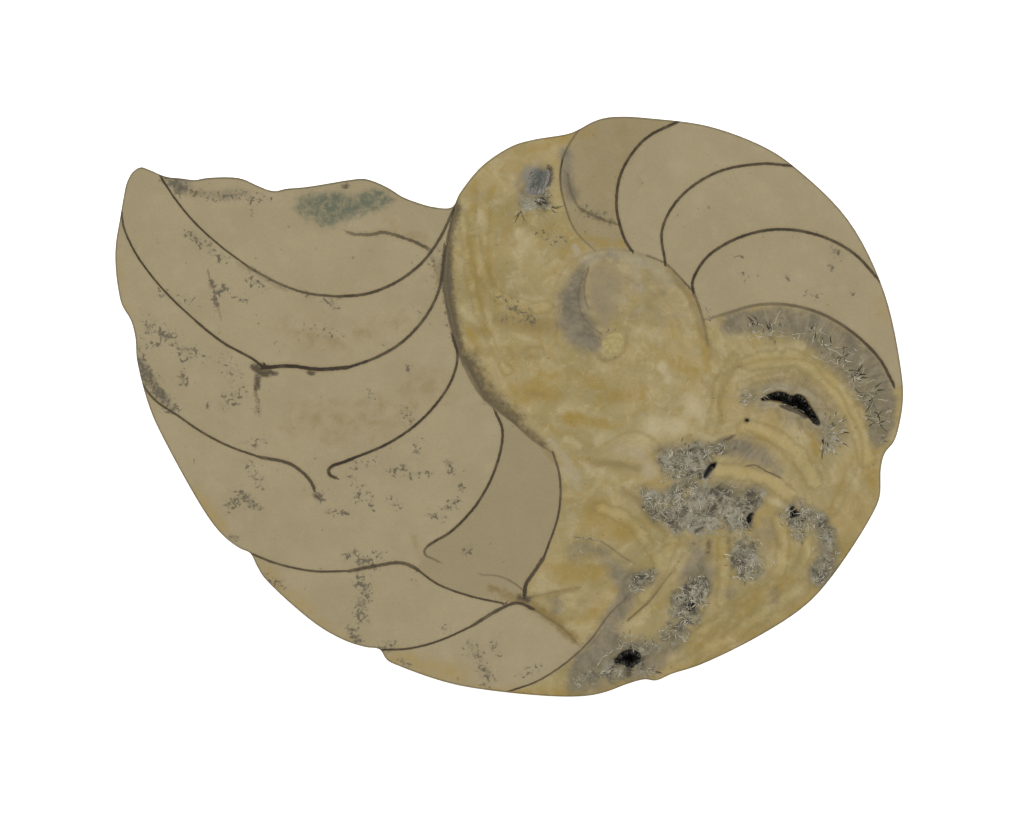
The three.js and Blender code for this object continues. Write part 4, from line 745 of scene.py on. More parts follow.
def to_chain(x, y, chain):
    """Distance to a chain, the nearest point on it, the share of its pieces there, and the side: the
    least distance to its straight pieces, and the sign of the cross product with the nearest one."""
    best = np.full(x.shape, np.inf)
    near_x, near_y, share, side = (np.zeros(x.shape) for _ in range(4))
    last = len(chain) - 1
    for i in range(last):
        (ax, ay), (dx, dy) = chain[i], chain[i + 1] - chain[i]
        t = np.clip(((x - ax) * dx + (y - ay) * dy) / (dx * dx + dy * dy + 1e-12), 0, 1)
        px, py = ax + t * dx, ay + t * dy
        distance = np.hypot(x - px, y - py)
        nearer = distance < best
        best = np.where(nearer, distance, best)
        near_x, near_y = np.where(nearer, px, near_x), np.where(nearer, py, near_y)
        share = np.where(nearer, (i + t) / last, share)
        side = np.where(nearer, np.sign(dx * (y - ay) - dy * (x - ax)), side)
    return best, near_x, near_y, share, side


def inside(x, y, polygon):
    """True where a ray to the right crosses the polygon's edges an odd number of times."""
    crossings = np.zeros(x.shape, int)
    for (ax, ay), (bx, by) in zip(polygon, np.roll(polygon, -1, axis=0)):
        if ay != by:
            crossings += ((ay > y) != (by > y)) & (x < ax + (y - ay) * (bx - ax) / (by - ay))
    return crossings % 2 == 1


def near_box(x, y, points, margin):
    """True inside the upright box around points, widened by a margin."""
    low, high = points.min(0) - margin, points.max(0) + margin
    return (x > low[0]) & (x < high[0]) & (y > low[1]) & (y < high[1])


def depth_inside(x, y, polygon):
    """Distance to a polygon's edge, positive inside it."""
    distance = to_chain(x, y, np.concatenate([polygon, polygon[:1]]))[0]
    return np.where(inside(x, y, polygon), distance, -distance)


OUTLINE_PIECES = 6
OUTLINE = polygon_through(BREAK_EDGE + VENTER_EDGE, OUTLINE_PIECES)
OUTLINE = np.concatenate([OUTLINE, OUTLINE[:1]])
BREAK_CHAIN = OUTLINE[:OUTLINE_PIECES * len(BREAK_EDGE) + 1]
VENTER_CHAIN = OUTLINE[OUTLINE_PIECES * len(BREAK_EDGE):]
OUTLINE_LENGTH = np.concatenate([[0], np.cumsum(np.linalg.norm(np.diff(OUTLINE, axis=0), axis=1))])


def edge_point(turn):
    """The point of the outline at a share of its length, from the first point of the broken edge."""
    length = (turn % 1) * OUTLINE_LENGTH[-1]
    return (np.interp(length, OUTLINE_LENGTH, OUTLINE[:, 0]),
            np.interp(length, OUTLINE_LENGTH, OUTLINE[:, 1]))


def turn_back(angle, start):
    """How far back along the coil a direction lies, with the cut in the angle at its start."""
    return angle - np.floor((angle - start) / TURN) * TURN - APERTURE_ANGLE


def soft_least(a, b, sharpness):
    """Two depths joined by a rounded corner: the power mean with a large negative power."""
    return (a ** -sharpness + b ** -sharpness) ** (-1 / sharpness)


def chamber_swell(back, share):
    """Half a sine wave between each partition's line and the next, faded out near the umbilicus."""
    lobe = SUTURE_LOBE * np.sin(np.pi * np.clip(1 - share, 0, 1))
    angle = np.degrees(back + APERTURE_ANGLE - lobe)
    lines = np.array(SUTURE_ANGLES, float)
    place = np.clip(np.searchsorted(lines, angle, side="right"), 1, len(lines) - 1)
    phase = np.clip((angle - lines[place - 1]) / (lines[place] - lines[place - 1]), 0, 1)
    return CHAMBER_SWELL * np.sin(np.pi * phase) * smoothstep(share, SWELL_START, SWELL_FULL)


def whorl_depth(x, y, start, outer_distance):
    """Half the whorl's width times a superellipse in the distance from the outer side."""
    dx, dy = x - POLE[0], y - POLE[1]
    back = turn_back(np.arctan2(dy, dx), start)
    radius = APERTURE_RADIUS * np.exp(-GROWTH_RATE * back)
    width = soft_least(HALF_WIDTH_SHARE * radius, HALF_WIDTH_LIMIT, LIMIT_SHARPNESS)
    inwards = np.minimum(1, outer_distance / (VENTER_SHARE * radius))
    rounding = (1 - (1 - inwards) ** VENTER_INNER_POWER) ** (1 / VENTER_OUTER_POWER)
    share = np.hypot(dx, dy) / radius
    flank = (width - CHAMBER_SWELL + chamber_swell(back, share)) * rounding
    shoulder = smoothstep(share, UMBILICUS_INNER_SHARE, UMBILICUS_OUTER_SHARE)
    return lerp(np.minimum(UMBILICUS_DEPTH, flank), flank, shoulder)


def break_side(x, y):
    """How far a point lies past the line from the pole to where the broken edge meets the whorl."""
    wall = np.array(VENTER_EDGE[0]) - POLE
    return (wall[0] * (y - POLE[1]) - wall[1] * (x - POLE[0])) / np.linalg.norm(wall)


def stone_depth(x, y):
    """Depth of the flank below the cut: the newer turn, which ends at the break in a steep wall, above
    the older turn, with smooth lumps that fade at the outline."""
    outer = to_chain(x, y, VENTER_CHAIN)[0]
    broken_off = to_chain(x, y, BREAK_CHAIN)[0]
    ragged = BREAK_ROUGHNESS * noise(x / BREAK_ROUGH_SPACING, y / BREAK_ROUGH_SPACING)
    width = BREAK_NARROWING * np.hypot(x - POLE[0], y - POLE[1]) + BREAK_LEAST_WIDTH
    half = np.minimum(BREAK_WIDTH, width) / 2
    older = whorl_depth(x, y, OLDER_START, outer)
    newer = whorl_depth(x, y, NEWER_START, outer)
    wall = BREAK_STEEPNESS * (broken_off + 1e-6) ** BREAK_POWER * (1 + BREAK_WALL_ROUGHNESS * ragged)
    broken = soft_least(newer + 1e-6, wall, BREAK_CORNER_SHARPNESS)
    depth = lerp(older, broken, smoothstep((break_side(x, y) + ragged) / half, -1, 1))
    away = np.minimum(1, np.minimum(outer, broken_off) / SMOOTH_EDGE)
    lumps = noise(x / LUMP_SPACING, y / LUMP_SPACING) + noise(x / GRAIN_SPACING, y / GRAIN_SPACING)
    return depth + away * SURFACE_ROUGHNESS * lumps / 2


def suture_lines():
    """Rows for the partitions' lines on the flank in plan: shares of the outer radius, bowed by a sine."""
    around = np.linspace(0, 1, 2001)
    x, y = edge_point(around)
    bearing = np.arctan2(y - POLE[1], x - POLE[0]) % TURN
    reach = np.hypot(x - POLE[0], y - POLE[1])
    order = np.argsort(bearing)
    share = 1 - SUTURE_REACH * np.linspace(0, 1, SUTURE_POINTS) ** SUTURE_CROWDING
    lines = []
    for degrees in SUTURE_ANGLES:
        angle = np.radians(degrees) + SUTURE_LOBE * np.sin(np.pi * (1 - share))
        radius = share * np.interp(angle % TURN, bearing[order], reach[order], period=TURN)
        x, y = POLE[0] + radius * np.cos(angle), POLE[1] + radius * np.sin(angle)
        lines.append((*SUTURE_MARK, np.stack([x, y], axis=1)))
    return lines


def squares_to_rings(cells):
    """A square grid laid out as rings: its larger coordinate is the way out, the other the turn."""
    s, t = np.meshgrid(np.linspace(-1, 1, cells + 1), np.linspace(-1, 1, cells + 1), indexing="ij")
    out = np.maximum(np.abs(s), np.abs(t))
    wide = np.abs(s) >= np.abs(t)
    middle = out < 1e-9
    across = np.where(middle, 0, t / np.where(wide & ~middle, s, 1)) / 8
    along = np.where(middle, 0, s / np.where(~wide, t, 1)) / 8
    turn = np.where(wide, np.where(s > 0, 0, 0.5) + across, np.where(t > 0, 0.25, 0.75) - along)
    return turn % 1, out


def even_rays(turn, out):
    """Moves points along their rays so that the spaces between them are nearly equal on the curved
    flank: the lengths along each of many rays are added up and read backwards."""
    rays = np.arange(RAYS) / RAYS
    steps = np.linspace(0, 1, RAY_STEPS + 1)
    edge_x, edge_y = edge_point(rays)
    x = lerp(FLANK_CENTRE[0], edge_x[:, None], steps)
    y = lerp(FLANK_CENTRE[1], edge_y[:, None], steps)
    depth = stone_depth(x, y)
    depth[:, -1] = 0
    moved = np.sqrt(np.diff(x) ** 2 + np.diff(y) ** 2 + np.diff(depth) ** 2)
    length = np.concatenate([np.zeros((RAYS, 1)), np.cumsum(moved, axis=1)], axis=1)
    length /= length[:, -1:]
    table = np.stack([np.interp(steps, row, steps) for row in length])
    place, step = turn * RAYS, np.minimum(out * RAY_STEPS, RAY_STEPS - 1e-9)
    i, k = np.floor(place).astype(int), np.floor(step).astype(int)
    u, v = place - i, step - k
    low = lerp(table[i % RAYS, k], table[i % RAYS, k + 1], v)
    high = lerp(table[(i + 1) % RAYS, k], table[(i + 1) % RAYS, k + 1], v)
    return lerp(out, lerp(low, high, u), RAY_EVENNESS)


def strokes(x, y, marks):
    """The strongest of soft strokes, each full on its line and nothing at its half width."""
    field = np.zeros(x.shape)
    for half, strength, points in marks:
        chain = curve_through(points, pieces=4)
        near = near_box(x, y, chain, half)
        if near.any():
            distance = to_chain(x[near], y[near], chain)[0]
            field[near] = np.maximum(field[near], strength * smoothstep(1 - distance / half))
    return field


def soft_areas(x, y, areas):
    """The strongest of soft-edged areas: each grows from nothing to its strength across its edge."""
    field = np.zeros(x.shape)
    for edge, strength, corners in areas:
        polygon = polygon_through(corners)
        near = near_box(x, y, polygon, edge)
        if near.any():
            share = smoothstep(depth_inside(x[near], y[near], polygon), -edge, edge)
            field[near] = np.maximum(field[near], strength * share)
    return field


def nearest_line(x, y, lines):
    """For each point, its nearest line's signed distance, distance, half width and darkness."""
    reach, offset = np.full(x.shape, FAR), np.full(x.shape, FAR)
    half, dark = np.full(x.shape, NO_LINE), np.zeros(x.shape)
    for wide, first, last, points in lines:
        chain = curve_through(points, pieces=6)
        near = near_box(x, y, chain, LINE_REACH)
        distance, _, _, share, side = to_chain(x[near], y[near], chain)
        closer = distance < reach[near]
        reach[near] = np.where(closer, distance, reach[near])
        offset[near] = np.where(closer, distance * side, offset[near])
        half[near] = np.where(closer, wide, half[near])
        dark[near] = np.where(closer, lerp(first, last, share), dark[near])
    return offset, reach, half, dark


def coil_place(x, y):
    """A place that runs along the coil slowly and across it fast: the bearing as a point of a ring, and
    the logarithm of the radius with the growth of the turns taken out."""
    dx, dy = x - POLE[0], y - POLE[1]
    angle = np.arctan2(dy, dx)
    winding = np.log(np.hypot(dx, dy) + 1) + GROWTH_RATE * (turn_back(angle, NEWER_START) + APERTURE_ANGLE)
    x, y = COIL_ALONG * np.cos(angle), COIL_ALONG * np.sin(angle)
    return np.stack([x, y, COIL_ACROSS * winding], axis=1)


def fan_place(x, y):
    """A place that runs round the calcite's fan fast and away from its middle slowly: the bearing and
    the distance."""
    dx, dy = x - FAN_CENTRE[0], y - FAN_CENTRE[1]
    around, outwards = FAN_AROUND * np.arctan2(dx, dy), FAN_OUTWARDS * np.hypot(dx, dy)
    return np.stack([around, outwards, 0 * x], axis=1)


def hollow_edge(name):
    """A hollow's edge as a smooth closed polygon."""
    return polygon_through(HOLLOWS[name][2], pieces=6)


def ledge_width(x, y):
    """How wide the crescent's ledge is near points: its width, faded out away from its line."""
    width, reach, line = LEDGE
    return width * smoothstep(1 - to_chain(x, y, curve_through(line))[0] / reach)


def cut_drop(x, y, recess):
    """How far the cut lies below its level: shallow rough ground in the fibrous calcite, and hollows
    that slope down from their edges as a power of the distance to them."""
    fibrous = smoothstep(soft_areas(x, y, FIBROUS_GROUND), GROUND_START, GROUND_FULL)
    drop = recess * fibrous * (1 + GROUND_ROUGHNESS * rough(x, y, GROUND_SPACING, 2))
    for name, (depth, slope, _) in HOLLOWS.items():
        polygon = hollow_edge(name)
        near = near_box(x, y, polygon, HOLLOW_MARGIN)
        inner = np.clip(depth_inside(x[near], y[near], polygon) / slope, 0, 1)
        lumps = noise(x[near] / HOLLOW_LUMP_SPACING, y[near] / HOLLOW_LUMP_SPACING)
        bottom = depth * inner ** HOLLOW_POWER * (1 + HOLLOW_LUMPS * lumps)
        drop[near] = np.maximum(drop[near] * (inner <= 0), bottom)
    return drop


def calcite_region():
    """The part of the cut that calcite fills: its bounding partitions, closed outside the stone."""
    p = LINE_POINTS
    return np.array(
        p["outer wall"] + p["outer wall end"][1:] + p["fifth inner"][1:] + p["fifth foot"][1:]
        + p["tube side"][::-1] + p["sixth"][2::-1] + [(0, -60), (80, -60), (80, 3.9)]
        + p["right first"] + p["inner wall right"][3::-1] + p["right fourth"][::-1] + [(30, 60), (-10, 60)])


def brown_chambers():
    """The chambers that are browner than the rest: the one at the top, the last before the inner whorl
    and one inside it, as soft areas."""
    p = LINE_POINTS
    top = p["right fifth"] + p["right fifth foot"][1:] + p["right fourth"][::-1] + [(30, 58), (12, 58)]
    last = (
        p["fourth inner"] + p["outer wall"][-1:] + p["outer wall end"][1:] + p["fifth inner"][1:]
        + p["fifth foot"][1:] + p["fourth end"][:-1][::-1]
    )
    innermost = [(14.5, 24.9), (16.3, 25.8), (19.4, 25.5), (20.3, 22.8), (19.9, 19.2), (18.5, 15.9),
                 (17.1, 14.0), (15.6, 16.5), (14.5, 19.2), (14.2, 22.2)]
    return [(0.35, 0.8, top), (0.35, 0.75, last), (0.9, 0.9, innermost)]


def make_mesh(name, points, faces):
    """A mesh object at the origin, from points in millimetres and the corners of its faces."""
    old = bpy.data.objects.get(name)
    if old:
        bpy.data.objects.remove(old)
    mesh = bpy.data.meshes.new(name)
    mesh.from_pydata((points * MM).tolist(), [], faces.tolist())
    mesh.update()
    piece = bpy.data.objects.new(name, mesh)
    bpy.context.scene.collection.objects.link(piece)
    return piece


def store(mesh, name, values):
    """Keeps one number or vector for each point of a mesh."""
    vector = np.ndim(values) > 1
    layer = mesh.attributes.new(name, "FLOAT_VECTOR" if vector else "FLOAT", "POINT")
    layer.data.foreach_set("vector" if vector else "value", np.asarray(values, np.float32).ravel())


def quads(index):
    """Squares between neighbouring points of a grid of point numbers."""
    corners = (index[:-1, :-1], index[1:, :-1], index[1:, 1:], index[:-1, 1:])
    return np.stack([corner.ravel() for corner in corners], axis=1)


def cut_points(turn, out, recess):
    """Points of the cut: rings about its centre, moved onto the edges of the hollows where near."""
    edge_x, edge_y = edge_point(turn)
    x, y = lerp(CUT_CENTRE[0], edge_x, out), lerp(CUT_CENTRE[1], edge_y, out)
    for name in HOLLOWS:
        polygon = hollow_edge(name)
        near = near_box(x, y, polygon, HOLLOW_MARGIN)
        chain = np.concatenate([polygon, polygon[:1]])
        distance, near_x, near_y, _, _ = to_chain(x[near], y[near], chain)
        onto = distance < EDGE_SNAP
        x[near], y[near] = np.where(onto, near_x, x[near]), np.where(onto, near_y, y[near])
    drop = np.where(out > BORDER, 0, cut_drop(x, y, recess))
    return np.stack([x, y, FACE_HEIGHT - drop], axis=-1)


def flank_points(turn, out, groove):
    """Points of the flank: rings whose depth is the stone's, with a groove along each suture line and
    fine roughness, cut off level at the flat spot."""
    share = np.where(out > BORDER, 1, even_rays(turn, out))
    edge_x, edge_y = edge_point(turn)
    x, y = lerp(FLANK_CENTRE[0], edge_x, share), lerp(FLANK_CENTRE[1], edge_y, share)
    depth = stone_depth(x, y)
    reach = nearest_line(x, y, suture_lines())[1]
    inward = smoothstep(1 - share, 0, FLANK_RIM_SHARE)
    depth = depth - groove * np.exp(-(reach / GROOVE_WIDTH) ** 2) * inward
    by_break = smoothstep(BROKEN_REACH - to_chain(x, y, BREAK_CHAIN)[0], 0, BROKEN_FADE)
    broken = smoothstep(break_side(x, y), BROKEN_START, BROKEN_FULL) * by_break
    fine = rough(x, y, FINE_SPACING, 3) * FINE_HEIGHT
    fine = fine + broken * rough(x, y, BROKEN_SPACING, 3) * BROKEN_HEIGHT
    depth = depth + fine * inward
    z = np.where(share == 1, FACE_HEIGHT, np.clip(FACE_HEIGHT - depth, 0, FACE_HEIGHT - FLANK_RIM_DROP))
    return np.stack([x, y, z], axis=-1), broken * inward


def needle_mesh(root, direction, length, radius, bend):
    """Thin curved needles: a point, three rings of three corners moved aside by a share of the bend, and
    a point again."""
    side = np.cross(direction, [0.0, 0.0, 1.0])
    side /= np.linalg.norm(side, axis=1, keepdims=True)
    other = np.cross(side, direction)
    along, aside = direction * length[:, None], side * (bend * length)[:, None]
    ring = []
    for place, bulge in enumerate(NEEDLE_BULGES):
        middle = root + along * (place + 1) / 4 + aside * bulge
        for angle in np.arange(3) * TURN / 3:
            ring.append(middle + (side * np.cos(angle) + other * np.sin(angle)) * radius[:, None] * bulge)
    points = np.stack([root, *ring, root + along], axis=1)
    after = np.array([1, 2, 0])
    pattern = [(0, 1 + i, 1 + after[i]) for i in range(3)]
    for first in (1, 4):
        for i in range(3):
            low, low_after = first + i, first + after[i]
            high, high_after = low + 3, low_after + 3
            pattern += [(low, high, low_after), (low_after, high, high_after)]
    pattern += [(7 + i, 10, 7 + after[i]) for i in range(3)]
    faces = (np.arange(len(root)) * 11)[:, None, None] + np.array(pattern)[None]
    return points.reshape(-1, 3), faces.reshape(-1, 3)


def crystal_mesh(root, direction, length, radius):
    """Six-sided double pyramids, widest near their roots: pointed calcite crystals."""
    helper = np.where(np.abs(direction[:, 2:3]) > 0.9, [[1.0, 0.0, 0.0]], [[0.0, 0.0, 1.0]])
    side = np.cross(direction, helper)
    side /= np.linalg.norm(side, axis=1, keepdims=True)
    other = np.cross(side, direction)
    waist = root + direction * length[:, None] * CRYSTAL_WAIST
    angles = np.arange(6) * TURN / 6
    ring = [waist + (side * np.cos(a) + other * np.sin(a)) * radius[:, None] for a in angles]
    points = np.stack([root, *ring, root + direction * length[:, None]], axis=1)
    after = np.roll(np.arange(1, 7), -1)
    low = np.stack([np.zeros(6, int), np.arange(1, 7), after], axis=1)
    high = np.stack([np.full(6, 7), after, np.arange(1, 7)], axis=1)
    faces = (np.arange(len(root)) * 8)[:, None, None] + np.concatenate([low, high])[None]
    return points.reshape(-1, 3), faces.reshape(-1, 3)


def spray_needles(rng, recess):
    """Needles in sprays: each spray's root is drawn inside its area, and its needles fan out from there,
    away from the area's focus or any way. Needles that would cross a hollow or the rim are left out.
    The long needles are chains of overlapping short ones."""
    roots, headings, lengths = [], [], []
    for sprays, each, least, most, spread, focus, _, corners in FIBROUS_AREAS:
        polygon = polygon_through(corners)
        tries = lerp(polygon.min(0), polygon.max(0), rng.random((sprays * DRAWS, 2)))
        depth = depth_inside(*tries.T, polygon) + rng.normal(0, SPRAY_STRAY, len(tries))
        clump = rough(*tries.T, CLUMP_SPACING, 2) > rng.normal(CLUMP_LEVEL, CLUMP_BLUR, len(tries))
        root = tries[(depth > SPRAY_INSIDE) & clump][:sprays]
        sprays = len(root)
        heading = rng.random(sprays) * TURN
        if focus:
            away = root - np.array(focus)
            heading = np.arctan2(away[:, 1], away[:, 0])
        fan = np.radians(spread) * (rng.random((sprays, each)) - 0.5)
        roots.append(np.repeat(root, each, axis=0) + rng.normal(0, SPRAY_SIZE, (sprays * each, 2)))
        headings.append((heading[:, None] + fan).ravel())
        lengths.append(lerp(least, most, rng.random(sprays * each)))
    root, heading, length = np.concatenate(roots), np.concatenate(headings), np.concatenate(lengths)
    tip = root + np.stack([np.cos(heading), np.sin(heading)], axis=1) * length[:, None]
    within = depth_inside(*root.T, OUTLINE[:-1]) > NEEDLE_CLEARANCE
    within &= depth_inside(*tip.T, OUTLINE[:-1]) > NEEDLE_CLEARANCE
    for name in HOLLOWS:
        within &= depth_inside(*root.T, hollow_edge(name)) < NEEDLE_OVERHANG
    root, heading, length = root[within], heading[within], length[within]
    scattered = len(length)
    radius = lerp(NEEDLE_THINNEST, NEEDLE_THICKEST, rng.random(scattered) ** NEEDLE_THINNESS)
    for points in LONG_NEEDLES:
        chain = curve_through(points, pieces=3)
        step = np.diff(chain, axis=0)
        root = np.concatenate([root, chain[:-1] - LONG_NEEDLE_OVERLAP * step])
        heading = np.concatenate([heading, np.arctan2(step[:, 1], step[:, 0])])
        long = (1 + 2 * LONG_NEEDLE_OVERLAP) * np.linalg.norm(step, axis=1)
        length = np.concatenate([length, long])
        radius = np.concatenate([radius, np.full(len(step), LONG_NEEDLE_RADIUS)])
    rise = rng.normal(NEEDLE_RISE, NEEDLE_RISE_SPREAD, len(length))
    rise[scattered:] = 0
    direction = np.stack([np.cos(heading) * np.cos(rise), np.sin(heading) * np.cos(rise), np.sin(rise)], 1)
    z = FACE_HEIGHT - np.minimum(cut_drop(*root.T, recess), NEEDLE_DEEPEST) - NEEDLE_SUNK
    bend = rng.normal(0, NEEDLE_BEND, len(length))
    points, faces = needle_mesh(np.column_stack([root, z]), direction, length, radius, bend)
    points[:, 2] = np.minimum(points[:, 2], FACE_HEIGHT + NEEDLE_PROUD)
    return points, faces


def hollow_crystals(rng, name, count, length, radius, lean):
    """Crystals on a hollow's wall: roots at random inside its edge, pointing to its middle and up, and
    leaning one way."""
    polygon, step = hollow_edge(name), CRYSTAL_STEP
    tries = lerp(polygon.min(0), polygon.max(0), rng.random((count * DRAWS, 2)))
    x, y = tries[depth_inside(*tries.T, polygon) > CRYSTAL_INSIDE + ledge_width(*tries.T)][:count].T
    slope_x = depth_inside(x + step, y, polygon) - depth_inside(x - step, y, polygon)
    slope_y = depth_inside(x, y + step, polygon) - depth_inside(x, y - step, polygon)
    direction = np.stack([slope_x / step, slope_y / step, np.full(x.shape, CRYSTAL_UPRIGHT)], axis=1)
    direction = direction + np.array(lean) + rng.normal(0, CRYSTAL_SCATTER, direction.shape)
    direction /= np.linalg.norm(direction, axis=1, keepdims=True)
    size = lerp(CRYSTAL_SMALLEST, 1.0, rng.random(x.shape))
    z = FACE_HEIGHT - cut_drop(x, y, 0) - CRYSTAL_SUNK
    points, faces = crystal_mesh(np.column_stack([x, y, z]), direction, length * size, radius * size)
    points[:, 2] = np.minimum(points[:, 2], FACE_HEIGHT - CRYSTAL_CLEARANCE)
    return points, faces


def linear(hexadecimal):
    """A colour written as six hexadecimal digits, as Blender's linear values."""
    value = np.array([int(hexadecimal[i:i + 2], 16) for i in (0, 2, 4)]) / 255
    return tuple(np.where(value <= 0.04045, value / 12.92, ((value + 0.055) / 1.055) ** 2.4))


class Paint:
    """Builds one material's nodes. Each method takes values or sockets and gives back a socket."""

    def __init__(self, name):
        old = bpy.data.materials.get(name)
        if old:
            bpy.data.materials.remove(old)
        self.material = bpy.data.materials.new(name)
        self.material.use_nodes = True
        self.nodes = self.material.node_tree.nodes
        self.links = self.material.node_tree.links
        self.nodes.clear()
        self.point = self.add("ShaderNodeTexCoord").outputs["Object"]

    def add(self, kind, **settings):
        node = self.nodes.new(kind)
        for name, value in settings.items():
            setattr(node, name, value)
        return node

    def feed(self, socket, value):
        if isinstance(value, bpy.types.NodeSocket):
            self.links.new(value, socket)
        elif hasattr(value, "__len__") and len(value) == 3 and socket.type == "RGBA":
            socket.default_value = (*value, 1)
        else:
            socket.default_value = value

    def read(self, name, output="Fac"):
        return self.add("ShaderNodeAttribute", attribute_name=name).outputs[output]

    def noise(self, size, detail=2.0, roughness=0.5, distortion=0.0, at=None):
        """Noise whose features are about size millimetres wide, or of the given vector's unit."""
        node = self.add("ShaderNodeTexNoise")
        self.feed(node.inputs["Vector"], self.point if at is None else at)
        node.inputs["Scale"].default_value = (1000 if at is None else 1) / size
        node.inputs["Detail"].default_value = detail
        node.inputs["Roughness"].default_value = roughness
        node.inputs["Distortion"].default_value = distortion
        return node.outputs["Fac"]

    def ramp(self, value, low, high, start=0.0, end=1.0):
        node = self.add("ShaderNodeMapRange", interpolation_type="SMOOTHSTEP")
        for name, number in zip(("Value", "From Min", "From Max", "To Min", "To Max"),
                                (value, low, high, start, end)):
            self.feed(node.inputs[name], number)
        return node.outputs["Result"]

    def maths(self, operation, a, b=0.0):
        node = self.add("ShaderNodeMath", operation=operation)
        self.feed(node.inputs[0], a)
        self.feed(node.inputs[1], b)
        return node.outputs[0]

    def times(self, a, b):
        return self.maths("MULTIPLY", a, b)

    def plus(self, a, b):
        return self.maths("ADD", a, b)

    def stir(self, value, noise, amount):
        """A value moved up and down by noise."""
        return self.plus(value, self.times(self.plus(noise, -0.5), amount))

    def mask(self, name, noise, amount, low, high, first, full):
        """Where a mark lies: its field stirred by noise, and only where the field itself has begun."""
        stirred = self.ramp(self.stir(self.read(name), noise, amount), low, high)
        return self.times(stirred, self.ramp(self.read(name), first, full))

    def mix(self, share, under, over):
        node = self.add("ShaderNodeMix", data_type="RGBA")
        self.feed(node.inputs[0], share)
        self.feed(node.inputs[6], under)
        self.feed(node.inputs[7], over)
        return node.outputs[2]

    def lay(self, under, over, mask, amount):
        """A colour laid over another where a mask says, as a share of at most the amount."""
        return self.mix(self.times(mask, amount), under, over)

    def scaled(self, colour, amount):
        """A colour made lighter or darker by a factor."""
        node = self.add("ShaderNodeVectorMath", operation="SCALE")
        self.feed(node.inputs[0], colour)
        self.feed(node.inputs["Scale"], amount)
        return node.outputs[0]

    def bump(self, height, distance):
        """A bump whose height of 1 is distance millimetres."""
        node = self.add("ShaderNodeBump")
        node.inputs["Distance"].default_value = distance * MM
        node.inputs["Strength"].default_value = 1.0
        self.feed(node.inputs["Height"], height)
        return node.outputs["Normal"]

    def finish(self, colour, roughness, normal=None, **uniform):
        shader = self.add("ShaderNodeBsdfPrincipled")
        self.feed(shader.inputs["Base Color"], colour)
        self.feed(shader.inputs["Roughness"], roughness)
        if normal is not None:
            self.feed(shader.inputs["Normal"], normal)
        for name, value in uniform.items():
            shader.inputs[name.replace("_", " ")].default_value = value
        output = self.add("ShaderNodeOutputMaterial")
        self.links.new(shader.outputs["BSDF"], output.inputs["Surface"])
        return self.material


def line_mask(paint, group, ragged):
    """A line's core, full within its half width, and a wide faint halo, both only where the line itself
    is near. The ragged share sets how far the edge wanders."""
    offset, reach = paint.read(group + "_offset"), paint.read(group + "_reach")
    half, dark = paint.read(group + "_half"), paint.read(group + "_dark")
    wandered = paint.stir(offset, paint.noise(0.7, 4, 0.65), paint.times(half, ragged))
    away = paint.maths("DIVIDE", paint.maths("ABSOLUTE", wandered), half)
    close = paint.ramp(paint.maths("SUBTRACT", reach, paint.times(half, 1.2)), 0.15, 0.5, 1, 0)
    uneven = paint.ramp(paint.noise(1.8, 3), 0.3, 0.6, 0.84, 1)
    strength = paint.times(paint.times(close, dark), uneven)
    core = paint.times(paint.ramp(away, 0.6, 1.08, 1, 0), strength)
    halo = paint.times(paint.ramp(away, 0.8, 2.6, 1, 0), strength)
    return core, halo


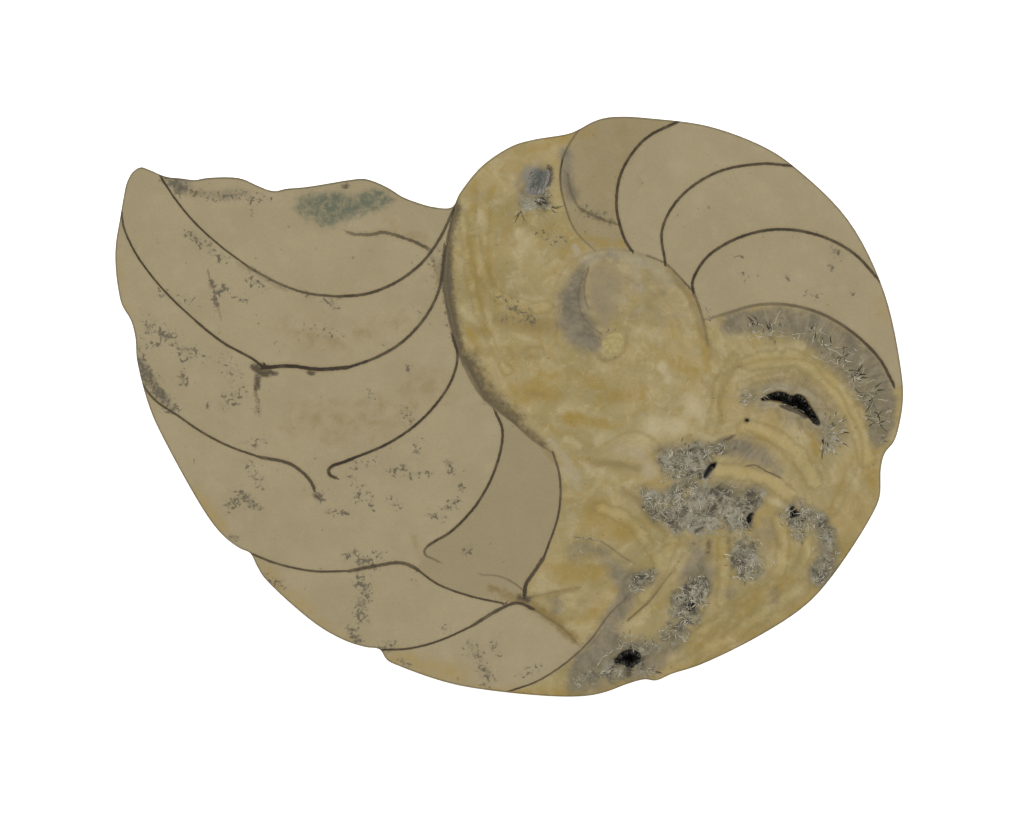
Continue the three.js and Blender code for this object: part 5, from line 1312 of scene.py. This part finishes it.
def paint_cut(look):
    """The polished cut: fine even sediment, cloudy calcite, fibrous grey calcite, and its marks, with painted
    shade in the dark hollows, between the fibres, along the yellow bands' edges and at the rim, and painted
    glints in the hollows.
    """
    p = Paint("polished_cut")
    fine, small = p.noise(0.3, 2), p.noise(0.9, 3, 0.6)
    middle, cloud = p.noise(3.2, 4, 0.55), p.noise(9, 4, 0.5)
    streak = p.noise(1, 5, 0.6, 0.35, at=p.read("coil", "Vector"))
    fan = p.noise(1, 3, 0.6, 0.1, at=p.read("fan", "Vector"))
    crumple = p.noise(1.7, 5, 0.62, 0.7)

    sediment = p.mix(p.ramp(cloud, 0.35, 0.65), look.sediment_dark, look.sediment)
    sediment = p.lay(sediment, look.sediment_pale, p.ramp(middle, 0.5, 0.7), 0.3)
    sediment = p.lay(sediment, look.smudge, p.ramp(small, 0.6, 0.72), 0.25)

    calcite = p.mix(p.ramp(cloud, 0.36, 0.62), look.calcite_olive, look.calcite)
    calcite = p.lay(calcite, look.ochre, p.ramp(streak, 0.45, 0.68), 0.4)
    calcite = p.lay(calcite, look.cream, p.ramp(p.noise(4.5, 5, 0.6, 0.8), 0.5, 0.7), 0.45)
    calcite = p.lay(calcite, look.cream, p.ramp(crumple, 0.54, 0.7), 0.4)
    calcite = p.lay(calcite, look.calcite_grey, p.ramp(crumple, 0.46, 0.3), 0.45)
    calcite = p.scaled(calcite, p.ramp(fan, 0.3, 0.7, 0.95, 1.05))
    in_calcite = p.ramp(p.stir(p.read("calcite"), middle, 1.2), -0.15, 0.5)
    colour = p.mix(in_calcite, sediment, calcite)
    colour = p.lay(colour, look.cell, p.read("cell"), p.ramp(middle, 0.3, 0.7, 0.85, 1.1))

    def patch(name, over, spread, low, high, amount, broken=1.3):
        """A mark's field broken up by noise, then laid over the colour."""
        return p.lay(colour, over, p.mask(name, spread, broken, low, high, 0.0, 0.12), amount)

    rust = p.mix(in_calcite, look.ochre_pale, look.ochre)
    colour = patch("ochre", rust, p.noise(3.0, 6, 0.65, 0.4), 0.0, 1.2, 0.85, 2.2)
    colour = patch("cream", look.cream, middle, 0.1, 0.95, 0.75)
    colour = patch("brown", look.brown, p.noise(2.4, 6, 0.65, 0.4), 0.1, 1.1, 0.75, 1.9)
    colour = patch("ash", look.ash, middle, 0.1, 1.0, 0.8)
    wavy = p.noise(2.6, 4, 0.6, 0.6)
    # Painted shade: olive darkening along the yellow bands' edges, as if the bands stood up in relief; the
    # folds use the same colour as real olive lines
    vein_edge = p.ramp(p.stir(p.read("vein"), wavy, 1.3), 0.3, 0.65, 1, 0)
    shadow = p.times(p.mask("vein", wavy, 1.3, 0.0, 0.3, 0.0, 0.15), vein_edge)
    colour = p.lay(colour, look.vein_shadow_and_fold_olive, shadow, 0.4)
    colour = p.lay(colour, look.vein, p.mask("vein", wavy, 1.3, 0.25, 1.2, 0.05, 0.4), 0.8)
    fold, fold_halo = line_mask(p, "fold", 2.2)
    colour = p.mix(p.plus(p.times(fold, 0.55), p.times(fold_halo, 0.3)), colour, look.vein_shadow_and_fold_olive)
    band = p.ramp(p.stir(p.read("band"), small, 0.9), 0.0, 0.85)
    colour = p.lay(colour, look.wall_band, band, p.ramp(p.read("calcite"), -0.4, 0.2))
    smoke = p.ramp(p.plus(p.times(fan, 0.5), p.times(crumple, 0.5)), 0.4, 0.6)
    smoke = p.mix(smoke, look.violet_dark, look.violet_grey)
    colour = patch("violet", smoke, p.noise(2.6, 5, 0.62), 0.1, 1.0, 0.9, 1.1)
    colour = patch("blue", look.blue_grey, middle, 0.2, 0.9, 0.9)

    tangle, gloom = p.noise(1.7, 5, 0.65, 1.0), p.noise(4.2, 3, 0.55)
    # Painted shade in the gaps between the fibres: dark where the fibres' bump is low, and in darker cloudy
    # patches and spots
    depth = p.plus(p.times(tangle, 0.65), p.times(gloom, 0.35))
    fibre = p.mix(p.ramp(depth, 0.4, 0.56), look.fibre_dark_and_gap_shade, look.fibre)
    fibre = p.lay(fibre, look.fibre_cloud, p.ramp(p.noise(3.0, 5, 0.62, 0.8), 0.48, 0.58), 0.85)
    fibre = p.lay(fibre, look.fibre_dark_and_gap_shade, p.ramp(p.noise(2.5, 6, 0.66, 0.8), 0.52, 0.61), 0.9)
    fibre = p.lay(fibre, look.fibre_pale, p.ramp(p.noise(1.1, 4, 0.6, 0.4), 0.57, 0.64), 0.5)
    curls = 0.0
    for size, thin, bent in ((2.8, 0.017, 2.2), (1.9, 0.02, 1.6)):
        line = p.maths("ABSOLUTE", p.plus(p.noise(size, 2, 0.6, bent), -0.5))
        curls = p.maths("MAXIMUM", curls, p.ramp(line, 0.0, thin, 1, 0))
    curls = p.times(curls, p.ramp(p.noise(2.2, 3, 0.6), 0.42, 0.56))
    fibre = p.lay(fibre, look.fibre_pale, curls, 0.7)
    broken = p.plus(p.noise(3.8, 7, 0.68, 0.6), -0.5)
    ground = p.times(p.read("fibrous"), p.plus(p.times(broken, 3.6), 0.9))
    ground = p.plus(ground, p.times(broken, 1.1))
    olive = p.times(p.ramp(ground, -0.1, 0.6), p.ramp(p.read("fibrous"), 0.0, 0.3))
    colour = p.lay(colour, look.olive_edge, p.times(olive, in_calcite), 0.5)
    fibrous = p.times(p.ramp(ground, 0.2, 0.85), p.ramp(p.read("fibrous"), 0.0, 0.4))
    fibrous = p.times(fibrous, in_calcite)
    colour = p.lay(colour, fibre, fibrous, 0.95)

    grain = p.ramp(p.noise(1.3, 6, 0.75), 0.36, 0.6, 0.4, 1)
    colour = patch("stain", look.green, small, 0.0, 0.9, p.times(grain, 0.95), 0.9)
    smudge = p.ramp(p.stir(p.times(p.read("speck"), 0.6), p.noise(1.5, 5, 0.65), 3.0), 0.3, 1.1)
    smudge = p.times(smudge, p.ramp(p.read("speck"), 0.0, 0.3))
    colour = p.lay(colour, look.speck, smudge, 0.5)
    dots = p.stir(p.noise(0.72, 3, 0.6, 0.3), p.noise(2.0, 3), 0.35)
    dots = p.plus(dots, p.times(p.read("speck"), 0.13))
    speck = p.times(p.ramp(dots, 0.585, 0.72), p.ramp(p.read("speck"), 0.0, 0.25))
    colour = p.lay(colour, look.speck, speck, 0.85)
    colour = p.lay(colour, look.speck, p.ramp(p.noise(1.1, 2, 0.5), 0.71, 0.76), 0.45)
    colour = patch("tube", look.tube, p.noise(1.3, 5, 0.65), 0.1, 1.0, 0.75, 1.6)
    blot = p.mask("blot", p.noise(0.8, 4, 0.6), 1.0, 0.15, 0.75, 0.0, 0.2)
    colour = p.lay(colour, look.seam, blot, 0.95)

    chip_colour = p.mix(p.ramp(p.noise(0.9, 3), 0.4, 0.62), look.chip, look.chip_pale)
    chip_colour = p.lay(chip_colour, look.tube, p.ramp(p.noise(0.75, 2), 0.64, 0.7), 0.6)
    chip = p.stir(p.read("chip"), p.noise(1.0, 3, 0.6), 1.6)
    colour = p.mix(p.ramp(chip, 0.05, 0.25), colour, chip_colour)

    (partition, halo), (seam, seam_halo) = line_mask(p, "line", 0.9), line_mask(p, "seam", 1.9)
    colour = p.lay(colour, look.brown, p.maths("MAXIMUM", halo, seam_halo), 0.32)
    colour = p.lay(colour, look.seam, seam, 0.85)
    colour = p.mix(partition, colour, look.partition)

    # Painted shade: the cut inside the dark hollows, and a little past their edge, is coloured near-black,
    # with painted glints
    hollow = p.stir(p.read("hollow"), p.noise(0.7, 3), 0.5)
    hollow_painted_shade = p.mix(p.ramp(p.noise(0.6, 3), 0.5, 0.7), look.hollow, look.hollow_glint)
    colour = p.mix(p.ramp(hollow, -0.15, 0.3), colour, hollow_painted_shade)
    # Painted shade: a thin dark line along the outline, standing in for the shade of a rounded rim
    rim = p.ramp(p.stir(p.read("rim"), small, 0.3), 0.1, 0.42, 1, 0)
    colour = p.lay(colour, look.rim, rim, 0.55)
    colour = p.scaled(colour, p.ramp(fine, 0.2, 0.8, 0.955, 1.045))

    height = p.plus(p.times(fine, 0.3), p.times(middle, 0.6))
    height = p.plus(height, p.times(p.maths("MAXIMUM", partition, seam), -1.6))
    height = p.plus(height, p.times(fibrous, p.plus(p.times(tangle, 7), -4)))
    height = p.plus(height, p.times(speck, -0.8))
    gloss = p.plus(p.ramp(small, 0.3, 0.7, look.gloss - 0.03, look.gloss + 0.05), p.times(fibrous, 0.16))
    return p.finish(colour, gloss, p.bump(height, 0.02), Specular_IOR_Level=0.35)


def paint_flank(look):
    """The natural flank: weathered limestone with pale shell remains, iron stain and dark suture lines."""
    p = Paint("natural_flank")
    fine, small = p.noise(0.35, 3, 0.6), p.noise(1.1, 4, 0.65)
    middle, cloud = p.noise(4, 5, 0.6, 0.4), p.noise(16, 4, 0.55, 0.6)
    colour = p.mix(p.ramp(cloud, 0.35, 0.65), look.flank_dark, look.flank)
    colour = p.lay(colour, look.flank_pale, p.ramp(middle, 0.5, 0.66), 0.6)
    colour = p.lay(colour, look.iron, p.ramp(p.noise(7, 5, 0.65, 1.0), 0.53, 0.68), 0.55)
    pits = p.ramp(p.stir(small, cloud, 0.5), 0.62, 0.7)
    colour = p.lay(colour, look.speck, pits, 0.5)
    colour = p.lay(colour, look.broken_stone, p.read("broken"), 0.6)
    line = line_mask(p, "line", 2.0)[0]
    colour = p.lay(colour, look.suture, line, 0.6)
    colour = p.scaled(colour, p.ramp(fine, 0.25, 0.75, 0.9, 1.08))
    height = p.plus(p.times(fine, 1.0), p.plus(p.times(small, 2.2), p.times(pits, -1.4)))
    height = p.plus(height, p.times(line, -1.6))
    roughness = p.ramp(small, 0.3, 0.7, 0.72, 0.88)
    return p.finish(colour, roughness, p.bump(height, 0.09), Specular_IOR_Level=0.3)


def paint_needles(look):
    """White calcite needles, creamier here and there and dark in patches."""
    p = Paint("calcite_needles")
    colour = p.mix(p.ramp(p.noise(1.3, 3), 0.35, 0.65), look.needle_shade, look.needle)
    colour = p.lay(colour, look.needle_dark, p.ramp(p.noise(0.8, 3, 0.6), 0.53, 0.62), 0.7)
    return p.finish(colour, 0.38, p.bump(p.noise(0.12, 2), 0.01), Specular_IOR_Level=0.4)


def paint_crystals(name, deep, high, depth):
    """Crystals coloured by their height: painted shade darkens them low in their hollow, and they are paler
    near the cut.
    """
    p = Paint(name)
    parts = p.add("ShaderNodeSeparateXYZ")
    p.feed(parts.inputs[0], p.point)
    level = p.stir(parts.outputs["Z"], p.noise(0.8, 3), 0.8 * MM)
    share = p.ramp(level, (FACE_HEIGHT - depth) * MM, (FACE_HEIGHT + 0.1) * MM)
    colour = p.mix(share, deep, high)
    colour = p.scaled(colour, p.ramp(p.noise(0.25, 2), 0.3, 0.7, 0.85, 1.15))
    return p.finish(colour, p.ramp(p.noise(0.5, 2), 0.3, 0.7, 0.3, 0.45), p.bump(p.noise(0.15, 2), 0.01))


def shade(name, hexadecimal):
    """A colour that the panel shows, with its default in hexadecimal."""
    return FloatVectorProperty(
        name=name, description=f"Colour of the {name.lower()}", subtype="COLOR", size=3,
        min=0, max=1, default=linear(hexadecimal))


def millimetres(name, description, value):
    """A length that the panel shows, with its default in millimetres."""
    return FloatProperty(
        name=name, description=description, default=value * MM, min=0, unit="LENGTH", precision=5)


class FossilStone(bpy.types.PropertyGroup):
    cells: IntProperty(
        name="Cells", description="Squares of mesh along each side of the cut and of the flank",
        default=218, min=20, max=220)
    recess: millimetres("Recess", "How far the fibrous calcite lies below the polish", 0.28)
    groove: millimetres("Suture groove", "Depth of the suture lines on the flank", 0.35)
    gloss: FloatProperty(name="Roughness", description="Roughness of the polish", default=0.4, min=0, max=1)
    sediment: shade("Sediment", "9f9171")
    sediment_dark: shade("Dark sediment", "9a8c6c")
    sediment_pale: shade("Pale sediment", "a8997a")
    smudge: shade("Smudges", "8f8468")
    calcite: shade("Calcite", "a39165")
    calcite_olive: shade("Olive calcite", "948559")
    calcite_grey: shade("Grey calcite", "99906f")
    ochre: shade("Ochre", "957c37")
    ochre_pale: shade("Pale ochre", "9d8856")
    cream: shade("Cream calcite", "b5a883")
    ash: shade("Ash-grey calcite", "a2977b")
    cell: shade("Top chamber", "918363")
    brown: shade("Brown patches", "857349")
    vein: shade("Yellow bands", "ae9b66")
    # Painted shade along the yellow bands' edges, and the real colour of the olive folds
    vein_shadow_and_fold_olive: shade("Yellow bands' shadows", "857343")
    wall_band: shade("Wall band", "5a4f39")
    violet_grey: shade("Violet grey", "7f7663")
    violet_dark: shade("Dark violet grey", "665f50")
    blue_grey: shade("Blue grey", "817c70")
    fibre: shade("Fibrous calcite", "756e5a")
    # Painted shade in the gaps between the fibres, and the ground's darker patches
    fibre_dark_and_gap_shade: shade("Dark fibrous calcite", "3c382b")
    fibre_pale: shade("Pale fibres", "aea790")
    fibre_cloud: shade("Clouds in the fibrous calcite", "928d7b")
    olive_edge: shade("Edge of the fibrous calcite", "756a45")
    green: shade("Green stain", "5c6250")
    speck: shade("Specks", "5b5545")
    tube: shade("Tube", "796532")
    chip: shade("Pale chip", "9e8f5f")
    chip_pale: shade("Bright parts of the chip", "ab9b67")
    partition: shade("Partitions", "33291c")
    seam: shade("Walls between whorls", "4a4030")
    # Painted shade and painted glints in the dark hollows
    hollow: shade("Hollows", "1d1c19")
    hollow_glint: shade("Glints in hollows", "3a3833")
    # Painted shade along the rounded rim of the cut
    rim: shade("Rim", "4e4632")
    flank: shade("Flank", "9a8a67")
    flank_dark: shade("Dark flank", "7f7050")
    flank_pale: shade("Pale shell", "b3a585")
    iron: shade("Iron stain", "8a6a3b")
    broken_stone: shade("Broken stone", "a19577")
    suture: shade("Suture lines", "4f4430")


class FossilNeedles(bpy.types.PropertyGroup):
    seed: IntProperty(name="Seed", description="Start of the needles' random draws", default=11)
    needle: shade("Needles", "c0b9a3")
    needle_shade: shade("Shaded needles", "8d8671")
    needle_dark: shade("Dark needles", "575140")


class FossilCrystals(bpy.types.PropertyGroup):
    seed: IntProperty(name="Seed", description="Start of the crystals' random draws", default=5)
    length: millimetres("Length", "Length of the longest crystals", 1.1)
    radius: millimetres("Radius", "Radius of the thickest crystals", 0.26)
    # The crystals' deep and high colours: painted shade low in their hollow, less of it near the cut
    deep: shade("Deep crystals", "1b1a18")
    high: shade("High crystals", "3d3931")
    blue_deep: shade("Deep blue crystals", "787b74")
    blue_high: shade("High blue crystals", "918e84")


class FossilStudio(bpy.types.PropertyGroup):
    camera_height: FloatProperty(
        name="Camera height", description="Height of the camera above the cut", default=0.512,
        min=0.1, unit="LENGTH")
    light_power: FloatProperty(
        name="Light power", description="Power of each soft light", default=6.0, min=0, unit="POWER")
    sky: FloatProperty(
        name="Sky", description="Strength of the even light from all round", default=0.33, min=0)
    floor_glow: FloatProperty(
        name="Floor glow", description="Light that the floor gives itself", default=0.55, min=0)
    floor: shade("Floor", "f4f4f2")


class FOSSIL_OT_stone(bpy.types.Operator):
    """Builds the stone: the polished cut and the natural flank as one closed mesh"""
    bl_idname = "fossil.stone"
    bl_label = "Build the stone"

    def execute(self, context):
        look = context.scene.fossil_stone
        turn, out = squares_to_rings(look.cells)
        cut = cut_points(turn, out, look.recess / MM)
        flank, broken = flank_points(turn, out, look.groove / MM)
        border = out > BORDER
        numbers = np.arange(out.size).reshape(out.shape)
        under = numbers.copy()
        under[~border] = out.size + np.arange(np.count_nonzero(~border))
        points = np.concatenate([cut.reshape(-1, 3), flank[~border]])
        faces = np.concatenate([quads(numbers)[:, ::-1], quads(under)])
        stone = make_mesh("nautiloid_stone", points, faces)
        mesh = stone.data
        mesh.shade_smooth()
        edges = np.empty(2 * len(mesh.edges), int)
        mesh.edges.foreach_get("vertices", edges)
        on_border = np.concatenate([border.ravel(), np.zeros(np.count_nonzero(~border), bool)])
        mesh.edges.foreach_set("use_edge_sharp", on_border[edges].reshape(-1, 2).all(axis=1))

        x, y = points[:out.size, :2].T
        below = np.count_nonzero(~border)

        def keep(name, on_cut, on_flank=0.0):
            """Keeps a number or a vector for each point: the cut's, then the flank's."""
            on_flank = np.broadcast_to(on_flank, (below, *on_cut.shape[1:]))
            store(mesh, name, np.concatenate([on_cut, on_flank]))

        for name, marks in (
            ("vein", YELLOW_BANDS), ("ochre", OCHRE_PATCHES), ("cream", CREAM_PATCHES),
            ("brown", BROWN_PATCHES), ("band", WALL_BANDS), ("speck", DARK_SPECKS), ("blue", BLUE_GREY),
            ("tube", TUBE_STREAKS), ("blot", DARK_BLOTS), ("ash", ASH_PATCHES),
        ):
            keep(name, strokes(x, y, marks))
        for name, areas in (
            ("violet", GREY_AREAS), ("stain", GREEN_STAIN), ("fibrous", FIBROUS_GROUND),
            ("cell", brown_chambers()),
        ):
            keep(name, soft_areas(x, y, areas))
        for name, polygon in (("calcite", calcite_region()), ("chip", polygon_through(PALE_CHIP))):
            keep(name, np.clip(depth_inside(x, y, polygon), -FIELD_LIMIT, FIELD_LIMIT))
        # Where the dark hollows get their painted shade, held back from the crescent's ledge
        hollow = np.max([depth_inside(x, y, hollow_edge(name)) for name in SHADE_PAINTED_HOLLOWS], axis=0)
        keep("hollow", np.clip(hollow - ledge_width(x, y), -FIELD_LIMIT, FIELD_LIMIT), -FIELD_LIMIT)
        keep("rim", np.minimum(to_chain(x, y, OUTLINE)[0], FIELD_LIMIT))
        keep("coil", coil_place(x, y))
        keep("fan", fan_place(x, y))
        keep("broken", np.zeros(out.size), broken[~border])

        sutures = nearest_line(*points[out.size:, :2].T, suture_lines())
        unused = dict(zip(LINE_PARTS, (NO_LINE, FAR, NO_LINE, NO_LINE)))
        for group, lines in (("line", PARTITIONS), ("seam", SEAMS), ("fold", FOLDS)):
            for part, on_cut, suture in zip(LINE_PARTS, nearest_line(x, y, lines.values()), sutures):
                keep(group + "_" + part, on_cut, suture if group == "line" else unused[part])

        mesh.materials.append(paint_cut(look))
        mesh.materials.append(paint_flank(look))
        slots = np.repeat([0, 1], len(faces) // 2)
        mesh.polygons.foreach_set("material_index", slots)
        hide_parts("nautiloid_half")
        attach(stone, "root")
        return {"FINISHED"}


class FOSSIL_OT_needles(bpy.types.Operator):
    """Builds the thin white calcite needles of the fibrous ground"""
    bl_idname = "fossil.needles"
    bl_label = "Build the needles"

    def execute(self, context):
        look = context.scene.fossil_needles
        rng = np.random.default_rng(look.seed)
        points, faces = spray_needles(rng, context.scene.fossil_stone.recess / MM)
        needles = make_mesh("calcite_needles", points, faces)
        needles.data.materials.append(paint_needles(look))
        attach(needles, "root")
        return {"FINISHED"}


class FOSSIL_OT_crystals(bpy.types.Operator):
    """Builds the crystals that line the three larger hollows"""
    bl_idname = "fossil.crystals"
    bl_label = "Build the crystals"

    def execute(self, context):
        look = context.scene.fossil_crystals
        rng = np.random.default_rng(look.seed)
        # Dark crystals painted in shade for a deep hole; both kinds fade from their deep to their high colour
        # over the given depth below the cut
        dark = paint_crystals("dark_crystals", look.deep, look.high, 1.6)
        blue = paint_crystals("blue_crystals", look.blue_deep, look.blue_high, 1.2)
        for name, count, long, thick, lean, material in (
            ("crescent", 620, 1.0, 1.0, (0, 0, 0), dark), ("lower", 420, 0.9, 0.9, (0, 0, 0), dark),
            ("upper", 900, 1.6, 0.45, (1.1, 4.0, -0.6), blue),
        ):
            points, faces = hollow_crystals(
                rng, name, count, long * look.length / MM, thick * look.radius / MM, lean)
            crust = make_mesh(name + "_crystals", points, faces)
            crust.data.materials.append(material)
            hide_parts(name + "_vug_crystals")
            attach(crust, "root")
        return {"FINISHED"}


class FOSSIL_OT_studio(bpy.types.Operator):
    """Builds the pale floor, the soft lights and the camera that looks straight down"""
    bl_idname = "fossil.studio"
    bl_label = "Build the studio"

    def execute(self, context):
        look = context.scene.fossil_studio
        scene = context.scene
        corners = [(sx * FLOOR_REACH, sy * FLOOR_REACH, FLOOR_HEIGHT)
                   for sx, sy in ((-1, -1), (1, -1), (1, 1), (-1, 1))]
        floor = make_mesh("floor", np.array(corners), np.array([(0, 1, 2, 3)]))
        p = Paint("pale_floor")
        floor.data.materials.append(p.finish(
            tuple(look.floor), 0.8, None, Emission_Color=(1, 1, 1, 1), Emission_Strength=look.floor_glow))
        for name, place, share in LIGHTS:
            data = bpy.data.lights.new(name, "AREA")
            data.shape, data.size, data.energy = "SQUARE", LIGHT_SIZE, look.light_power * share
            light = bpy.data.objects.new(name, data)
            light.location = place
            light.rotation_euler = light.location.to_track_quat("Z", "Y").to_euler()
            scene.collection.objects.link(light)
        world = bpy.data.worlds.new("soft_sky")
        world.use_nodes = True
        sky = world.node_tree.nodes["Background"]
        sky.inputs["Color"].default_value = (1, 1, 1, 1)
        sky.inputs["Strength"].default_value = look.sky
        scene.world = world
        data = bpy.data.cameras.new("camera")
        data.lens, data.sensor_width = FOCAL_LENGTH, SENSOR_WIDTH
        data.clip_start, data.clip_end = 0.01, 20
        camera = bpy.data.objects.new("camera", data)
        camera.location = (*CAMERA_SHIFT, FACE_HEIGHT * MM + look.camera_height)
        scene.collection.objects.link(camera)
        scene.camera = camera
        scene.view_settings.view_transform = "Standard"
        scene.view_settings.look = "None"
        return {"FINISHED"}


class FOSSIL_PT_panel(bpy.types.Panel):
    """Lists the pieces and their settings"""
    bl_idname = "FOSSIL_PT_panel"
    bl_label = "Fossil"
    bl_space_type = "VIEW_3D"
    bl_region_type = "UI"
    bl_category = "Fossil"

    def draw(self, context):
        for kind, group in zip(KINDS, GROUPS):
            box = self.layout.box()
            box.operator("fossil." + kind)
            for name in group.__annotations__:
                box.prop(getattr(context.scene, "fossil_" + kind), name)


KINDS = ("stone", "needles", "crystals", "studio")
GROUPS = (FossilStone, FossilNeedles, FossilCrystals, FossilStudio)
OPERATORS = (FOSSIL_OT_stone, FOSSIL_OT_needles, FOSSIL_OT_crystals, FOSSIL_OT_studio)


def register():
    for kind in (*GROUPS, *OPERATORS, FOSSIL_PT_panel):
        bpy.utils.register_class(kind)
    for kind, group in zip(KINDS, GROUPS):
        setattr(bpy.types.Scene, "fossil_" + kind, PointerProperty(type=group))


def unregister():
    for kind in KINDS:
        delattr(bpy.types.Scene, "fossil_" + kind)
    for kind in reversed((*GROUPS, *OPERATORS, FOSSIL_PT_panel)):
        bpy.utils.unregister_class(kind)


def main():
    register()
    bpy.ops.fossil.stone()
    bpy.ops.fossil.needles()
    bpy.ops.fossil.crystals()
    bpy.ops.fossil.studio()
    bpy.context.view_layer.update()


if __name__ == "__main__":
    main()
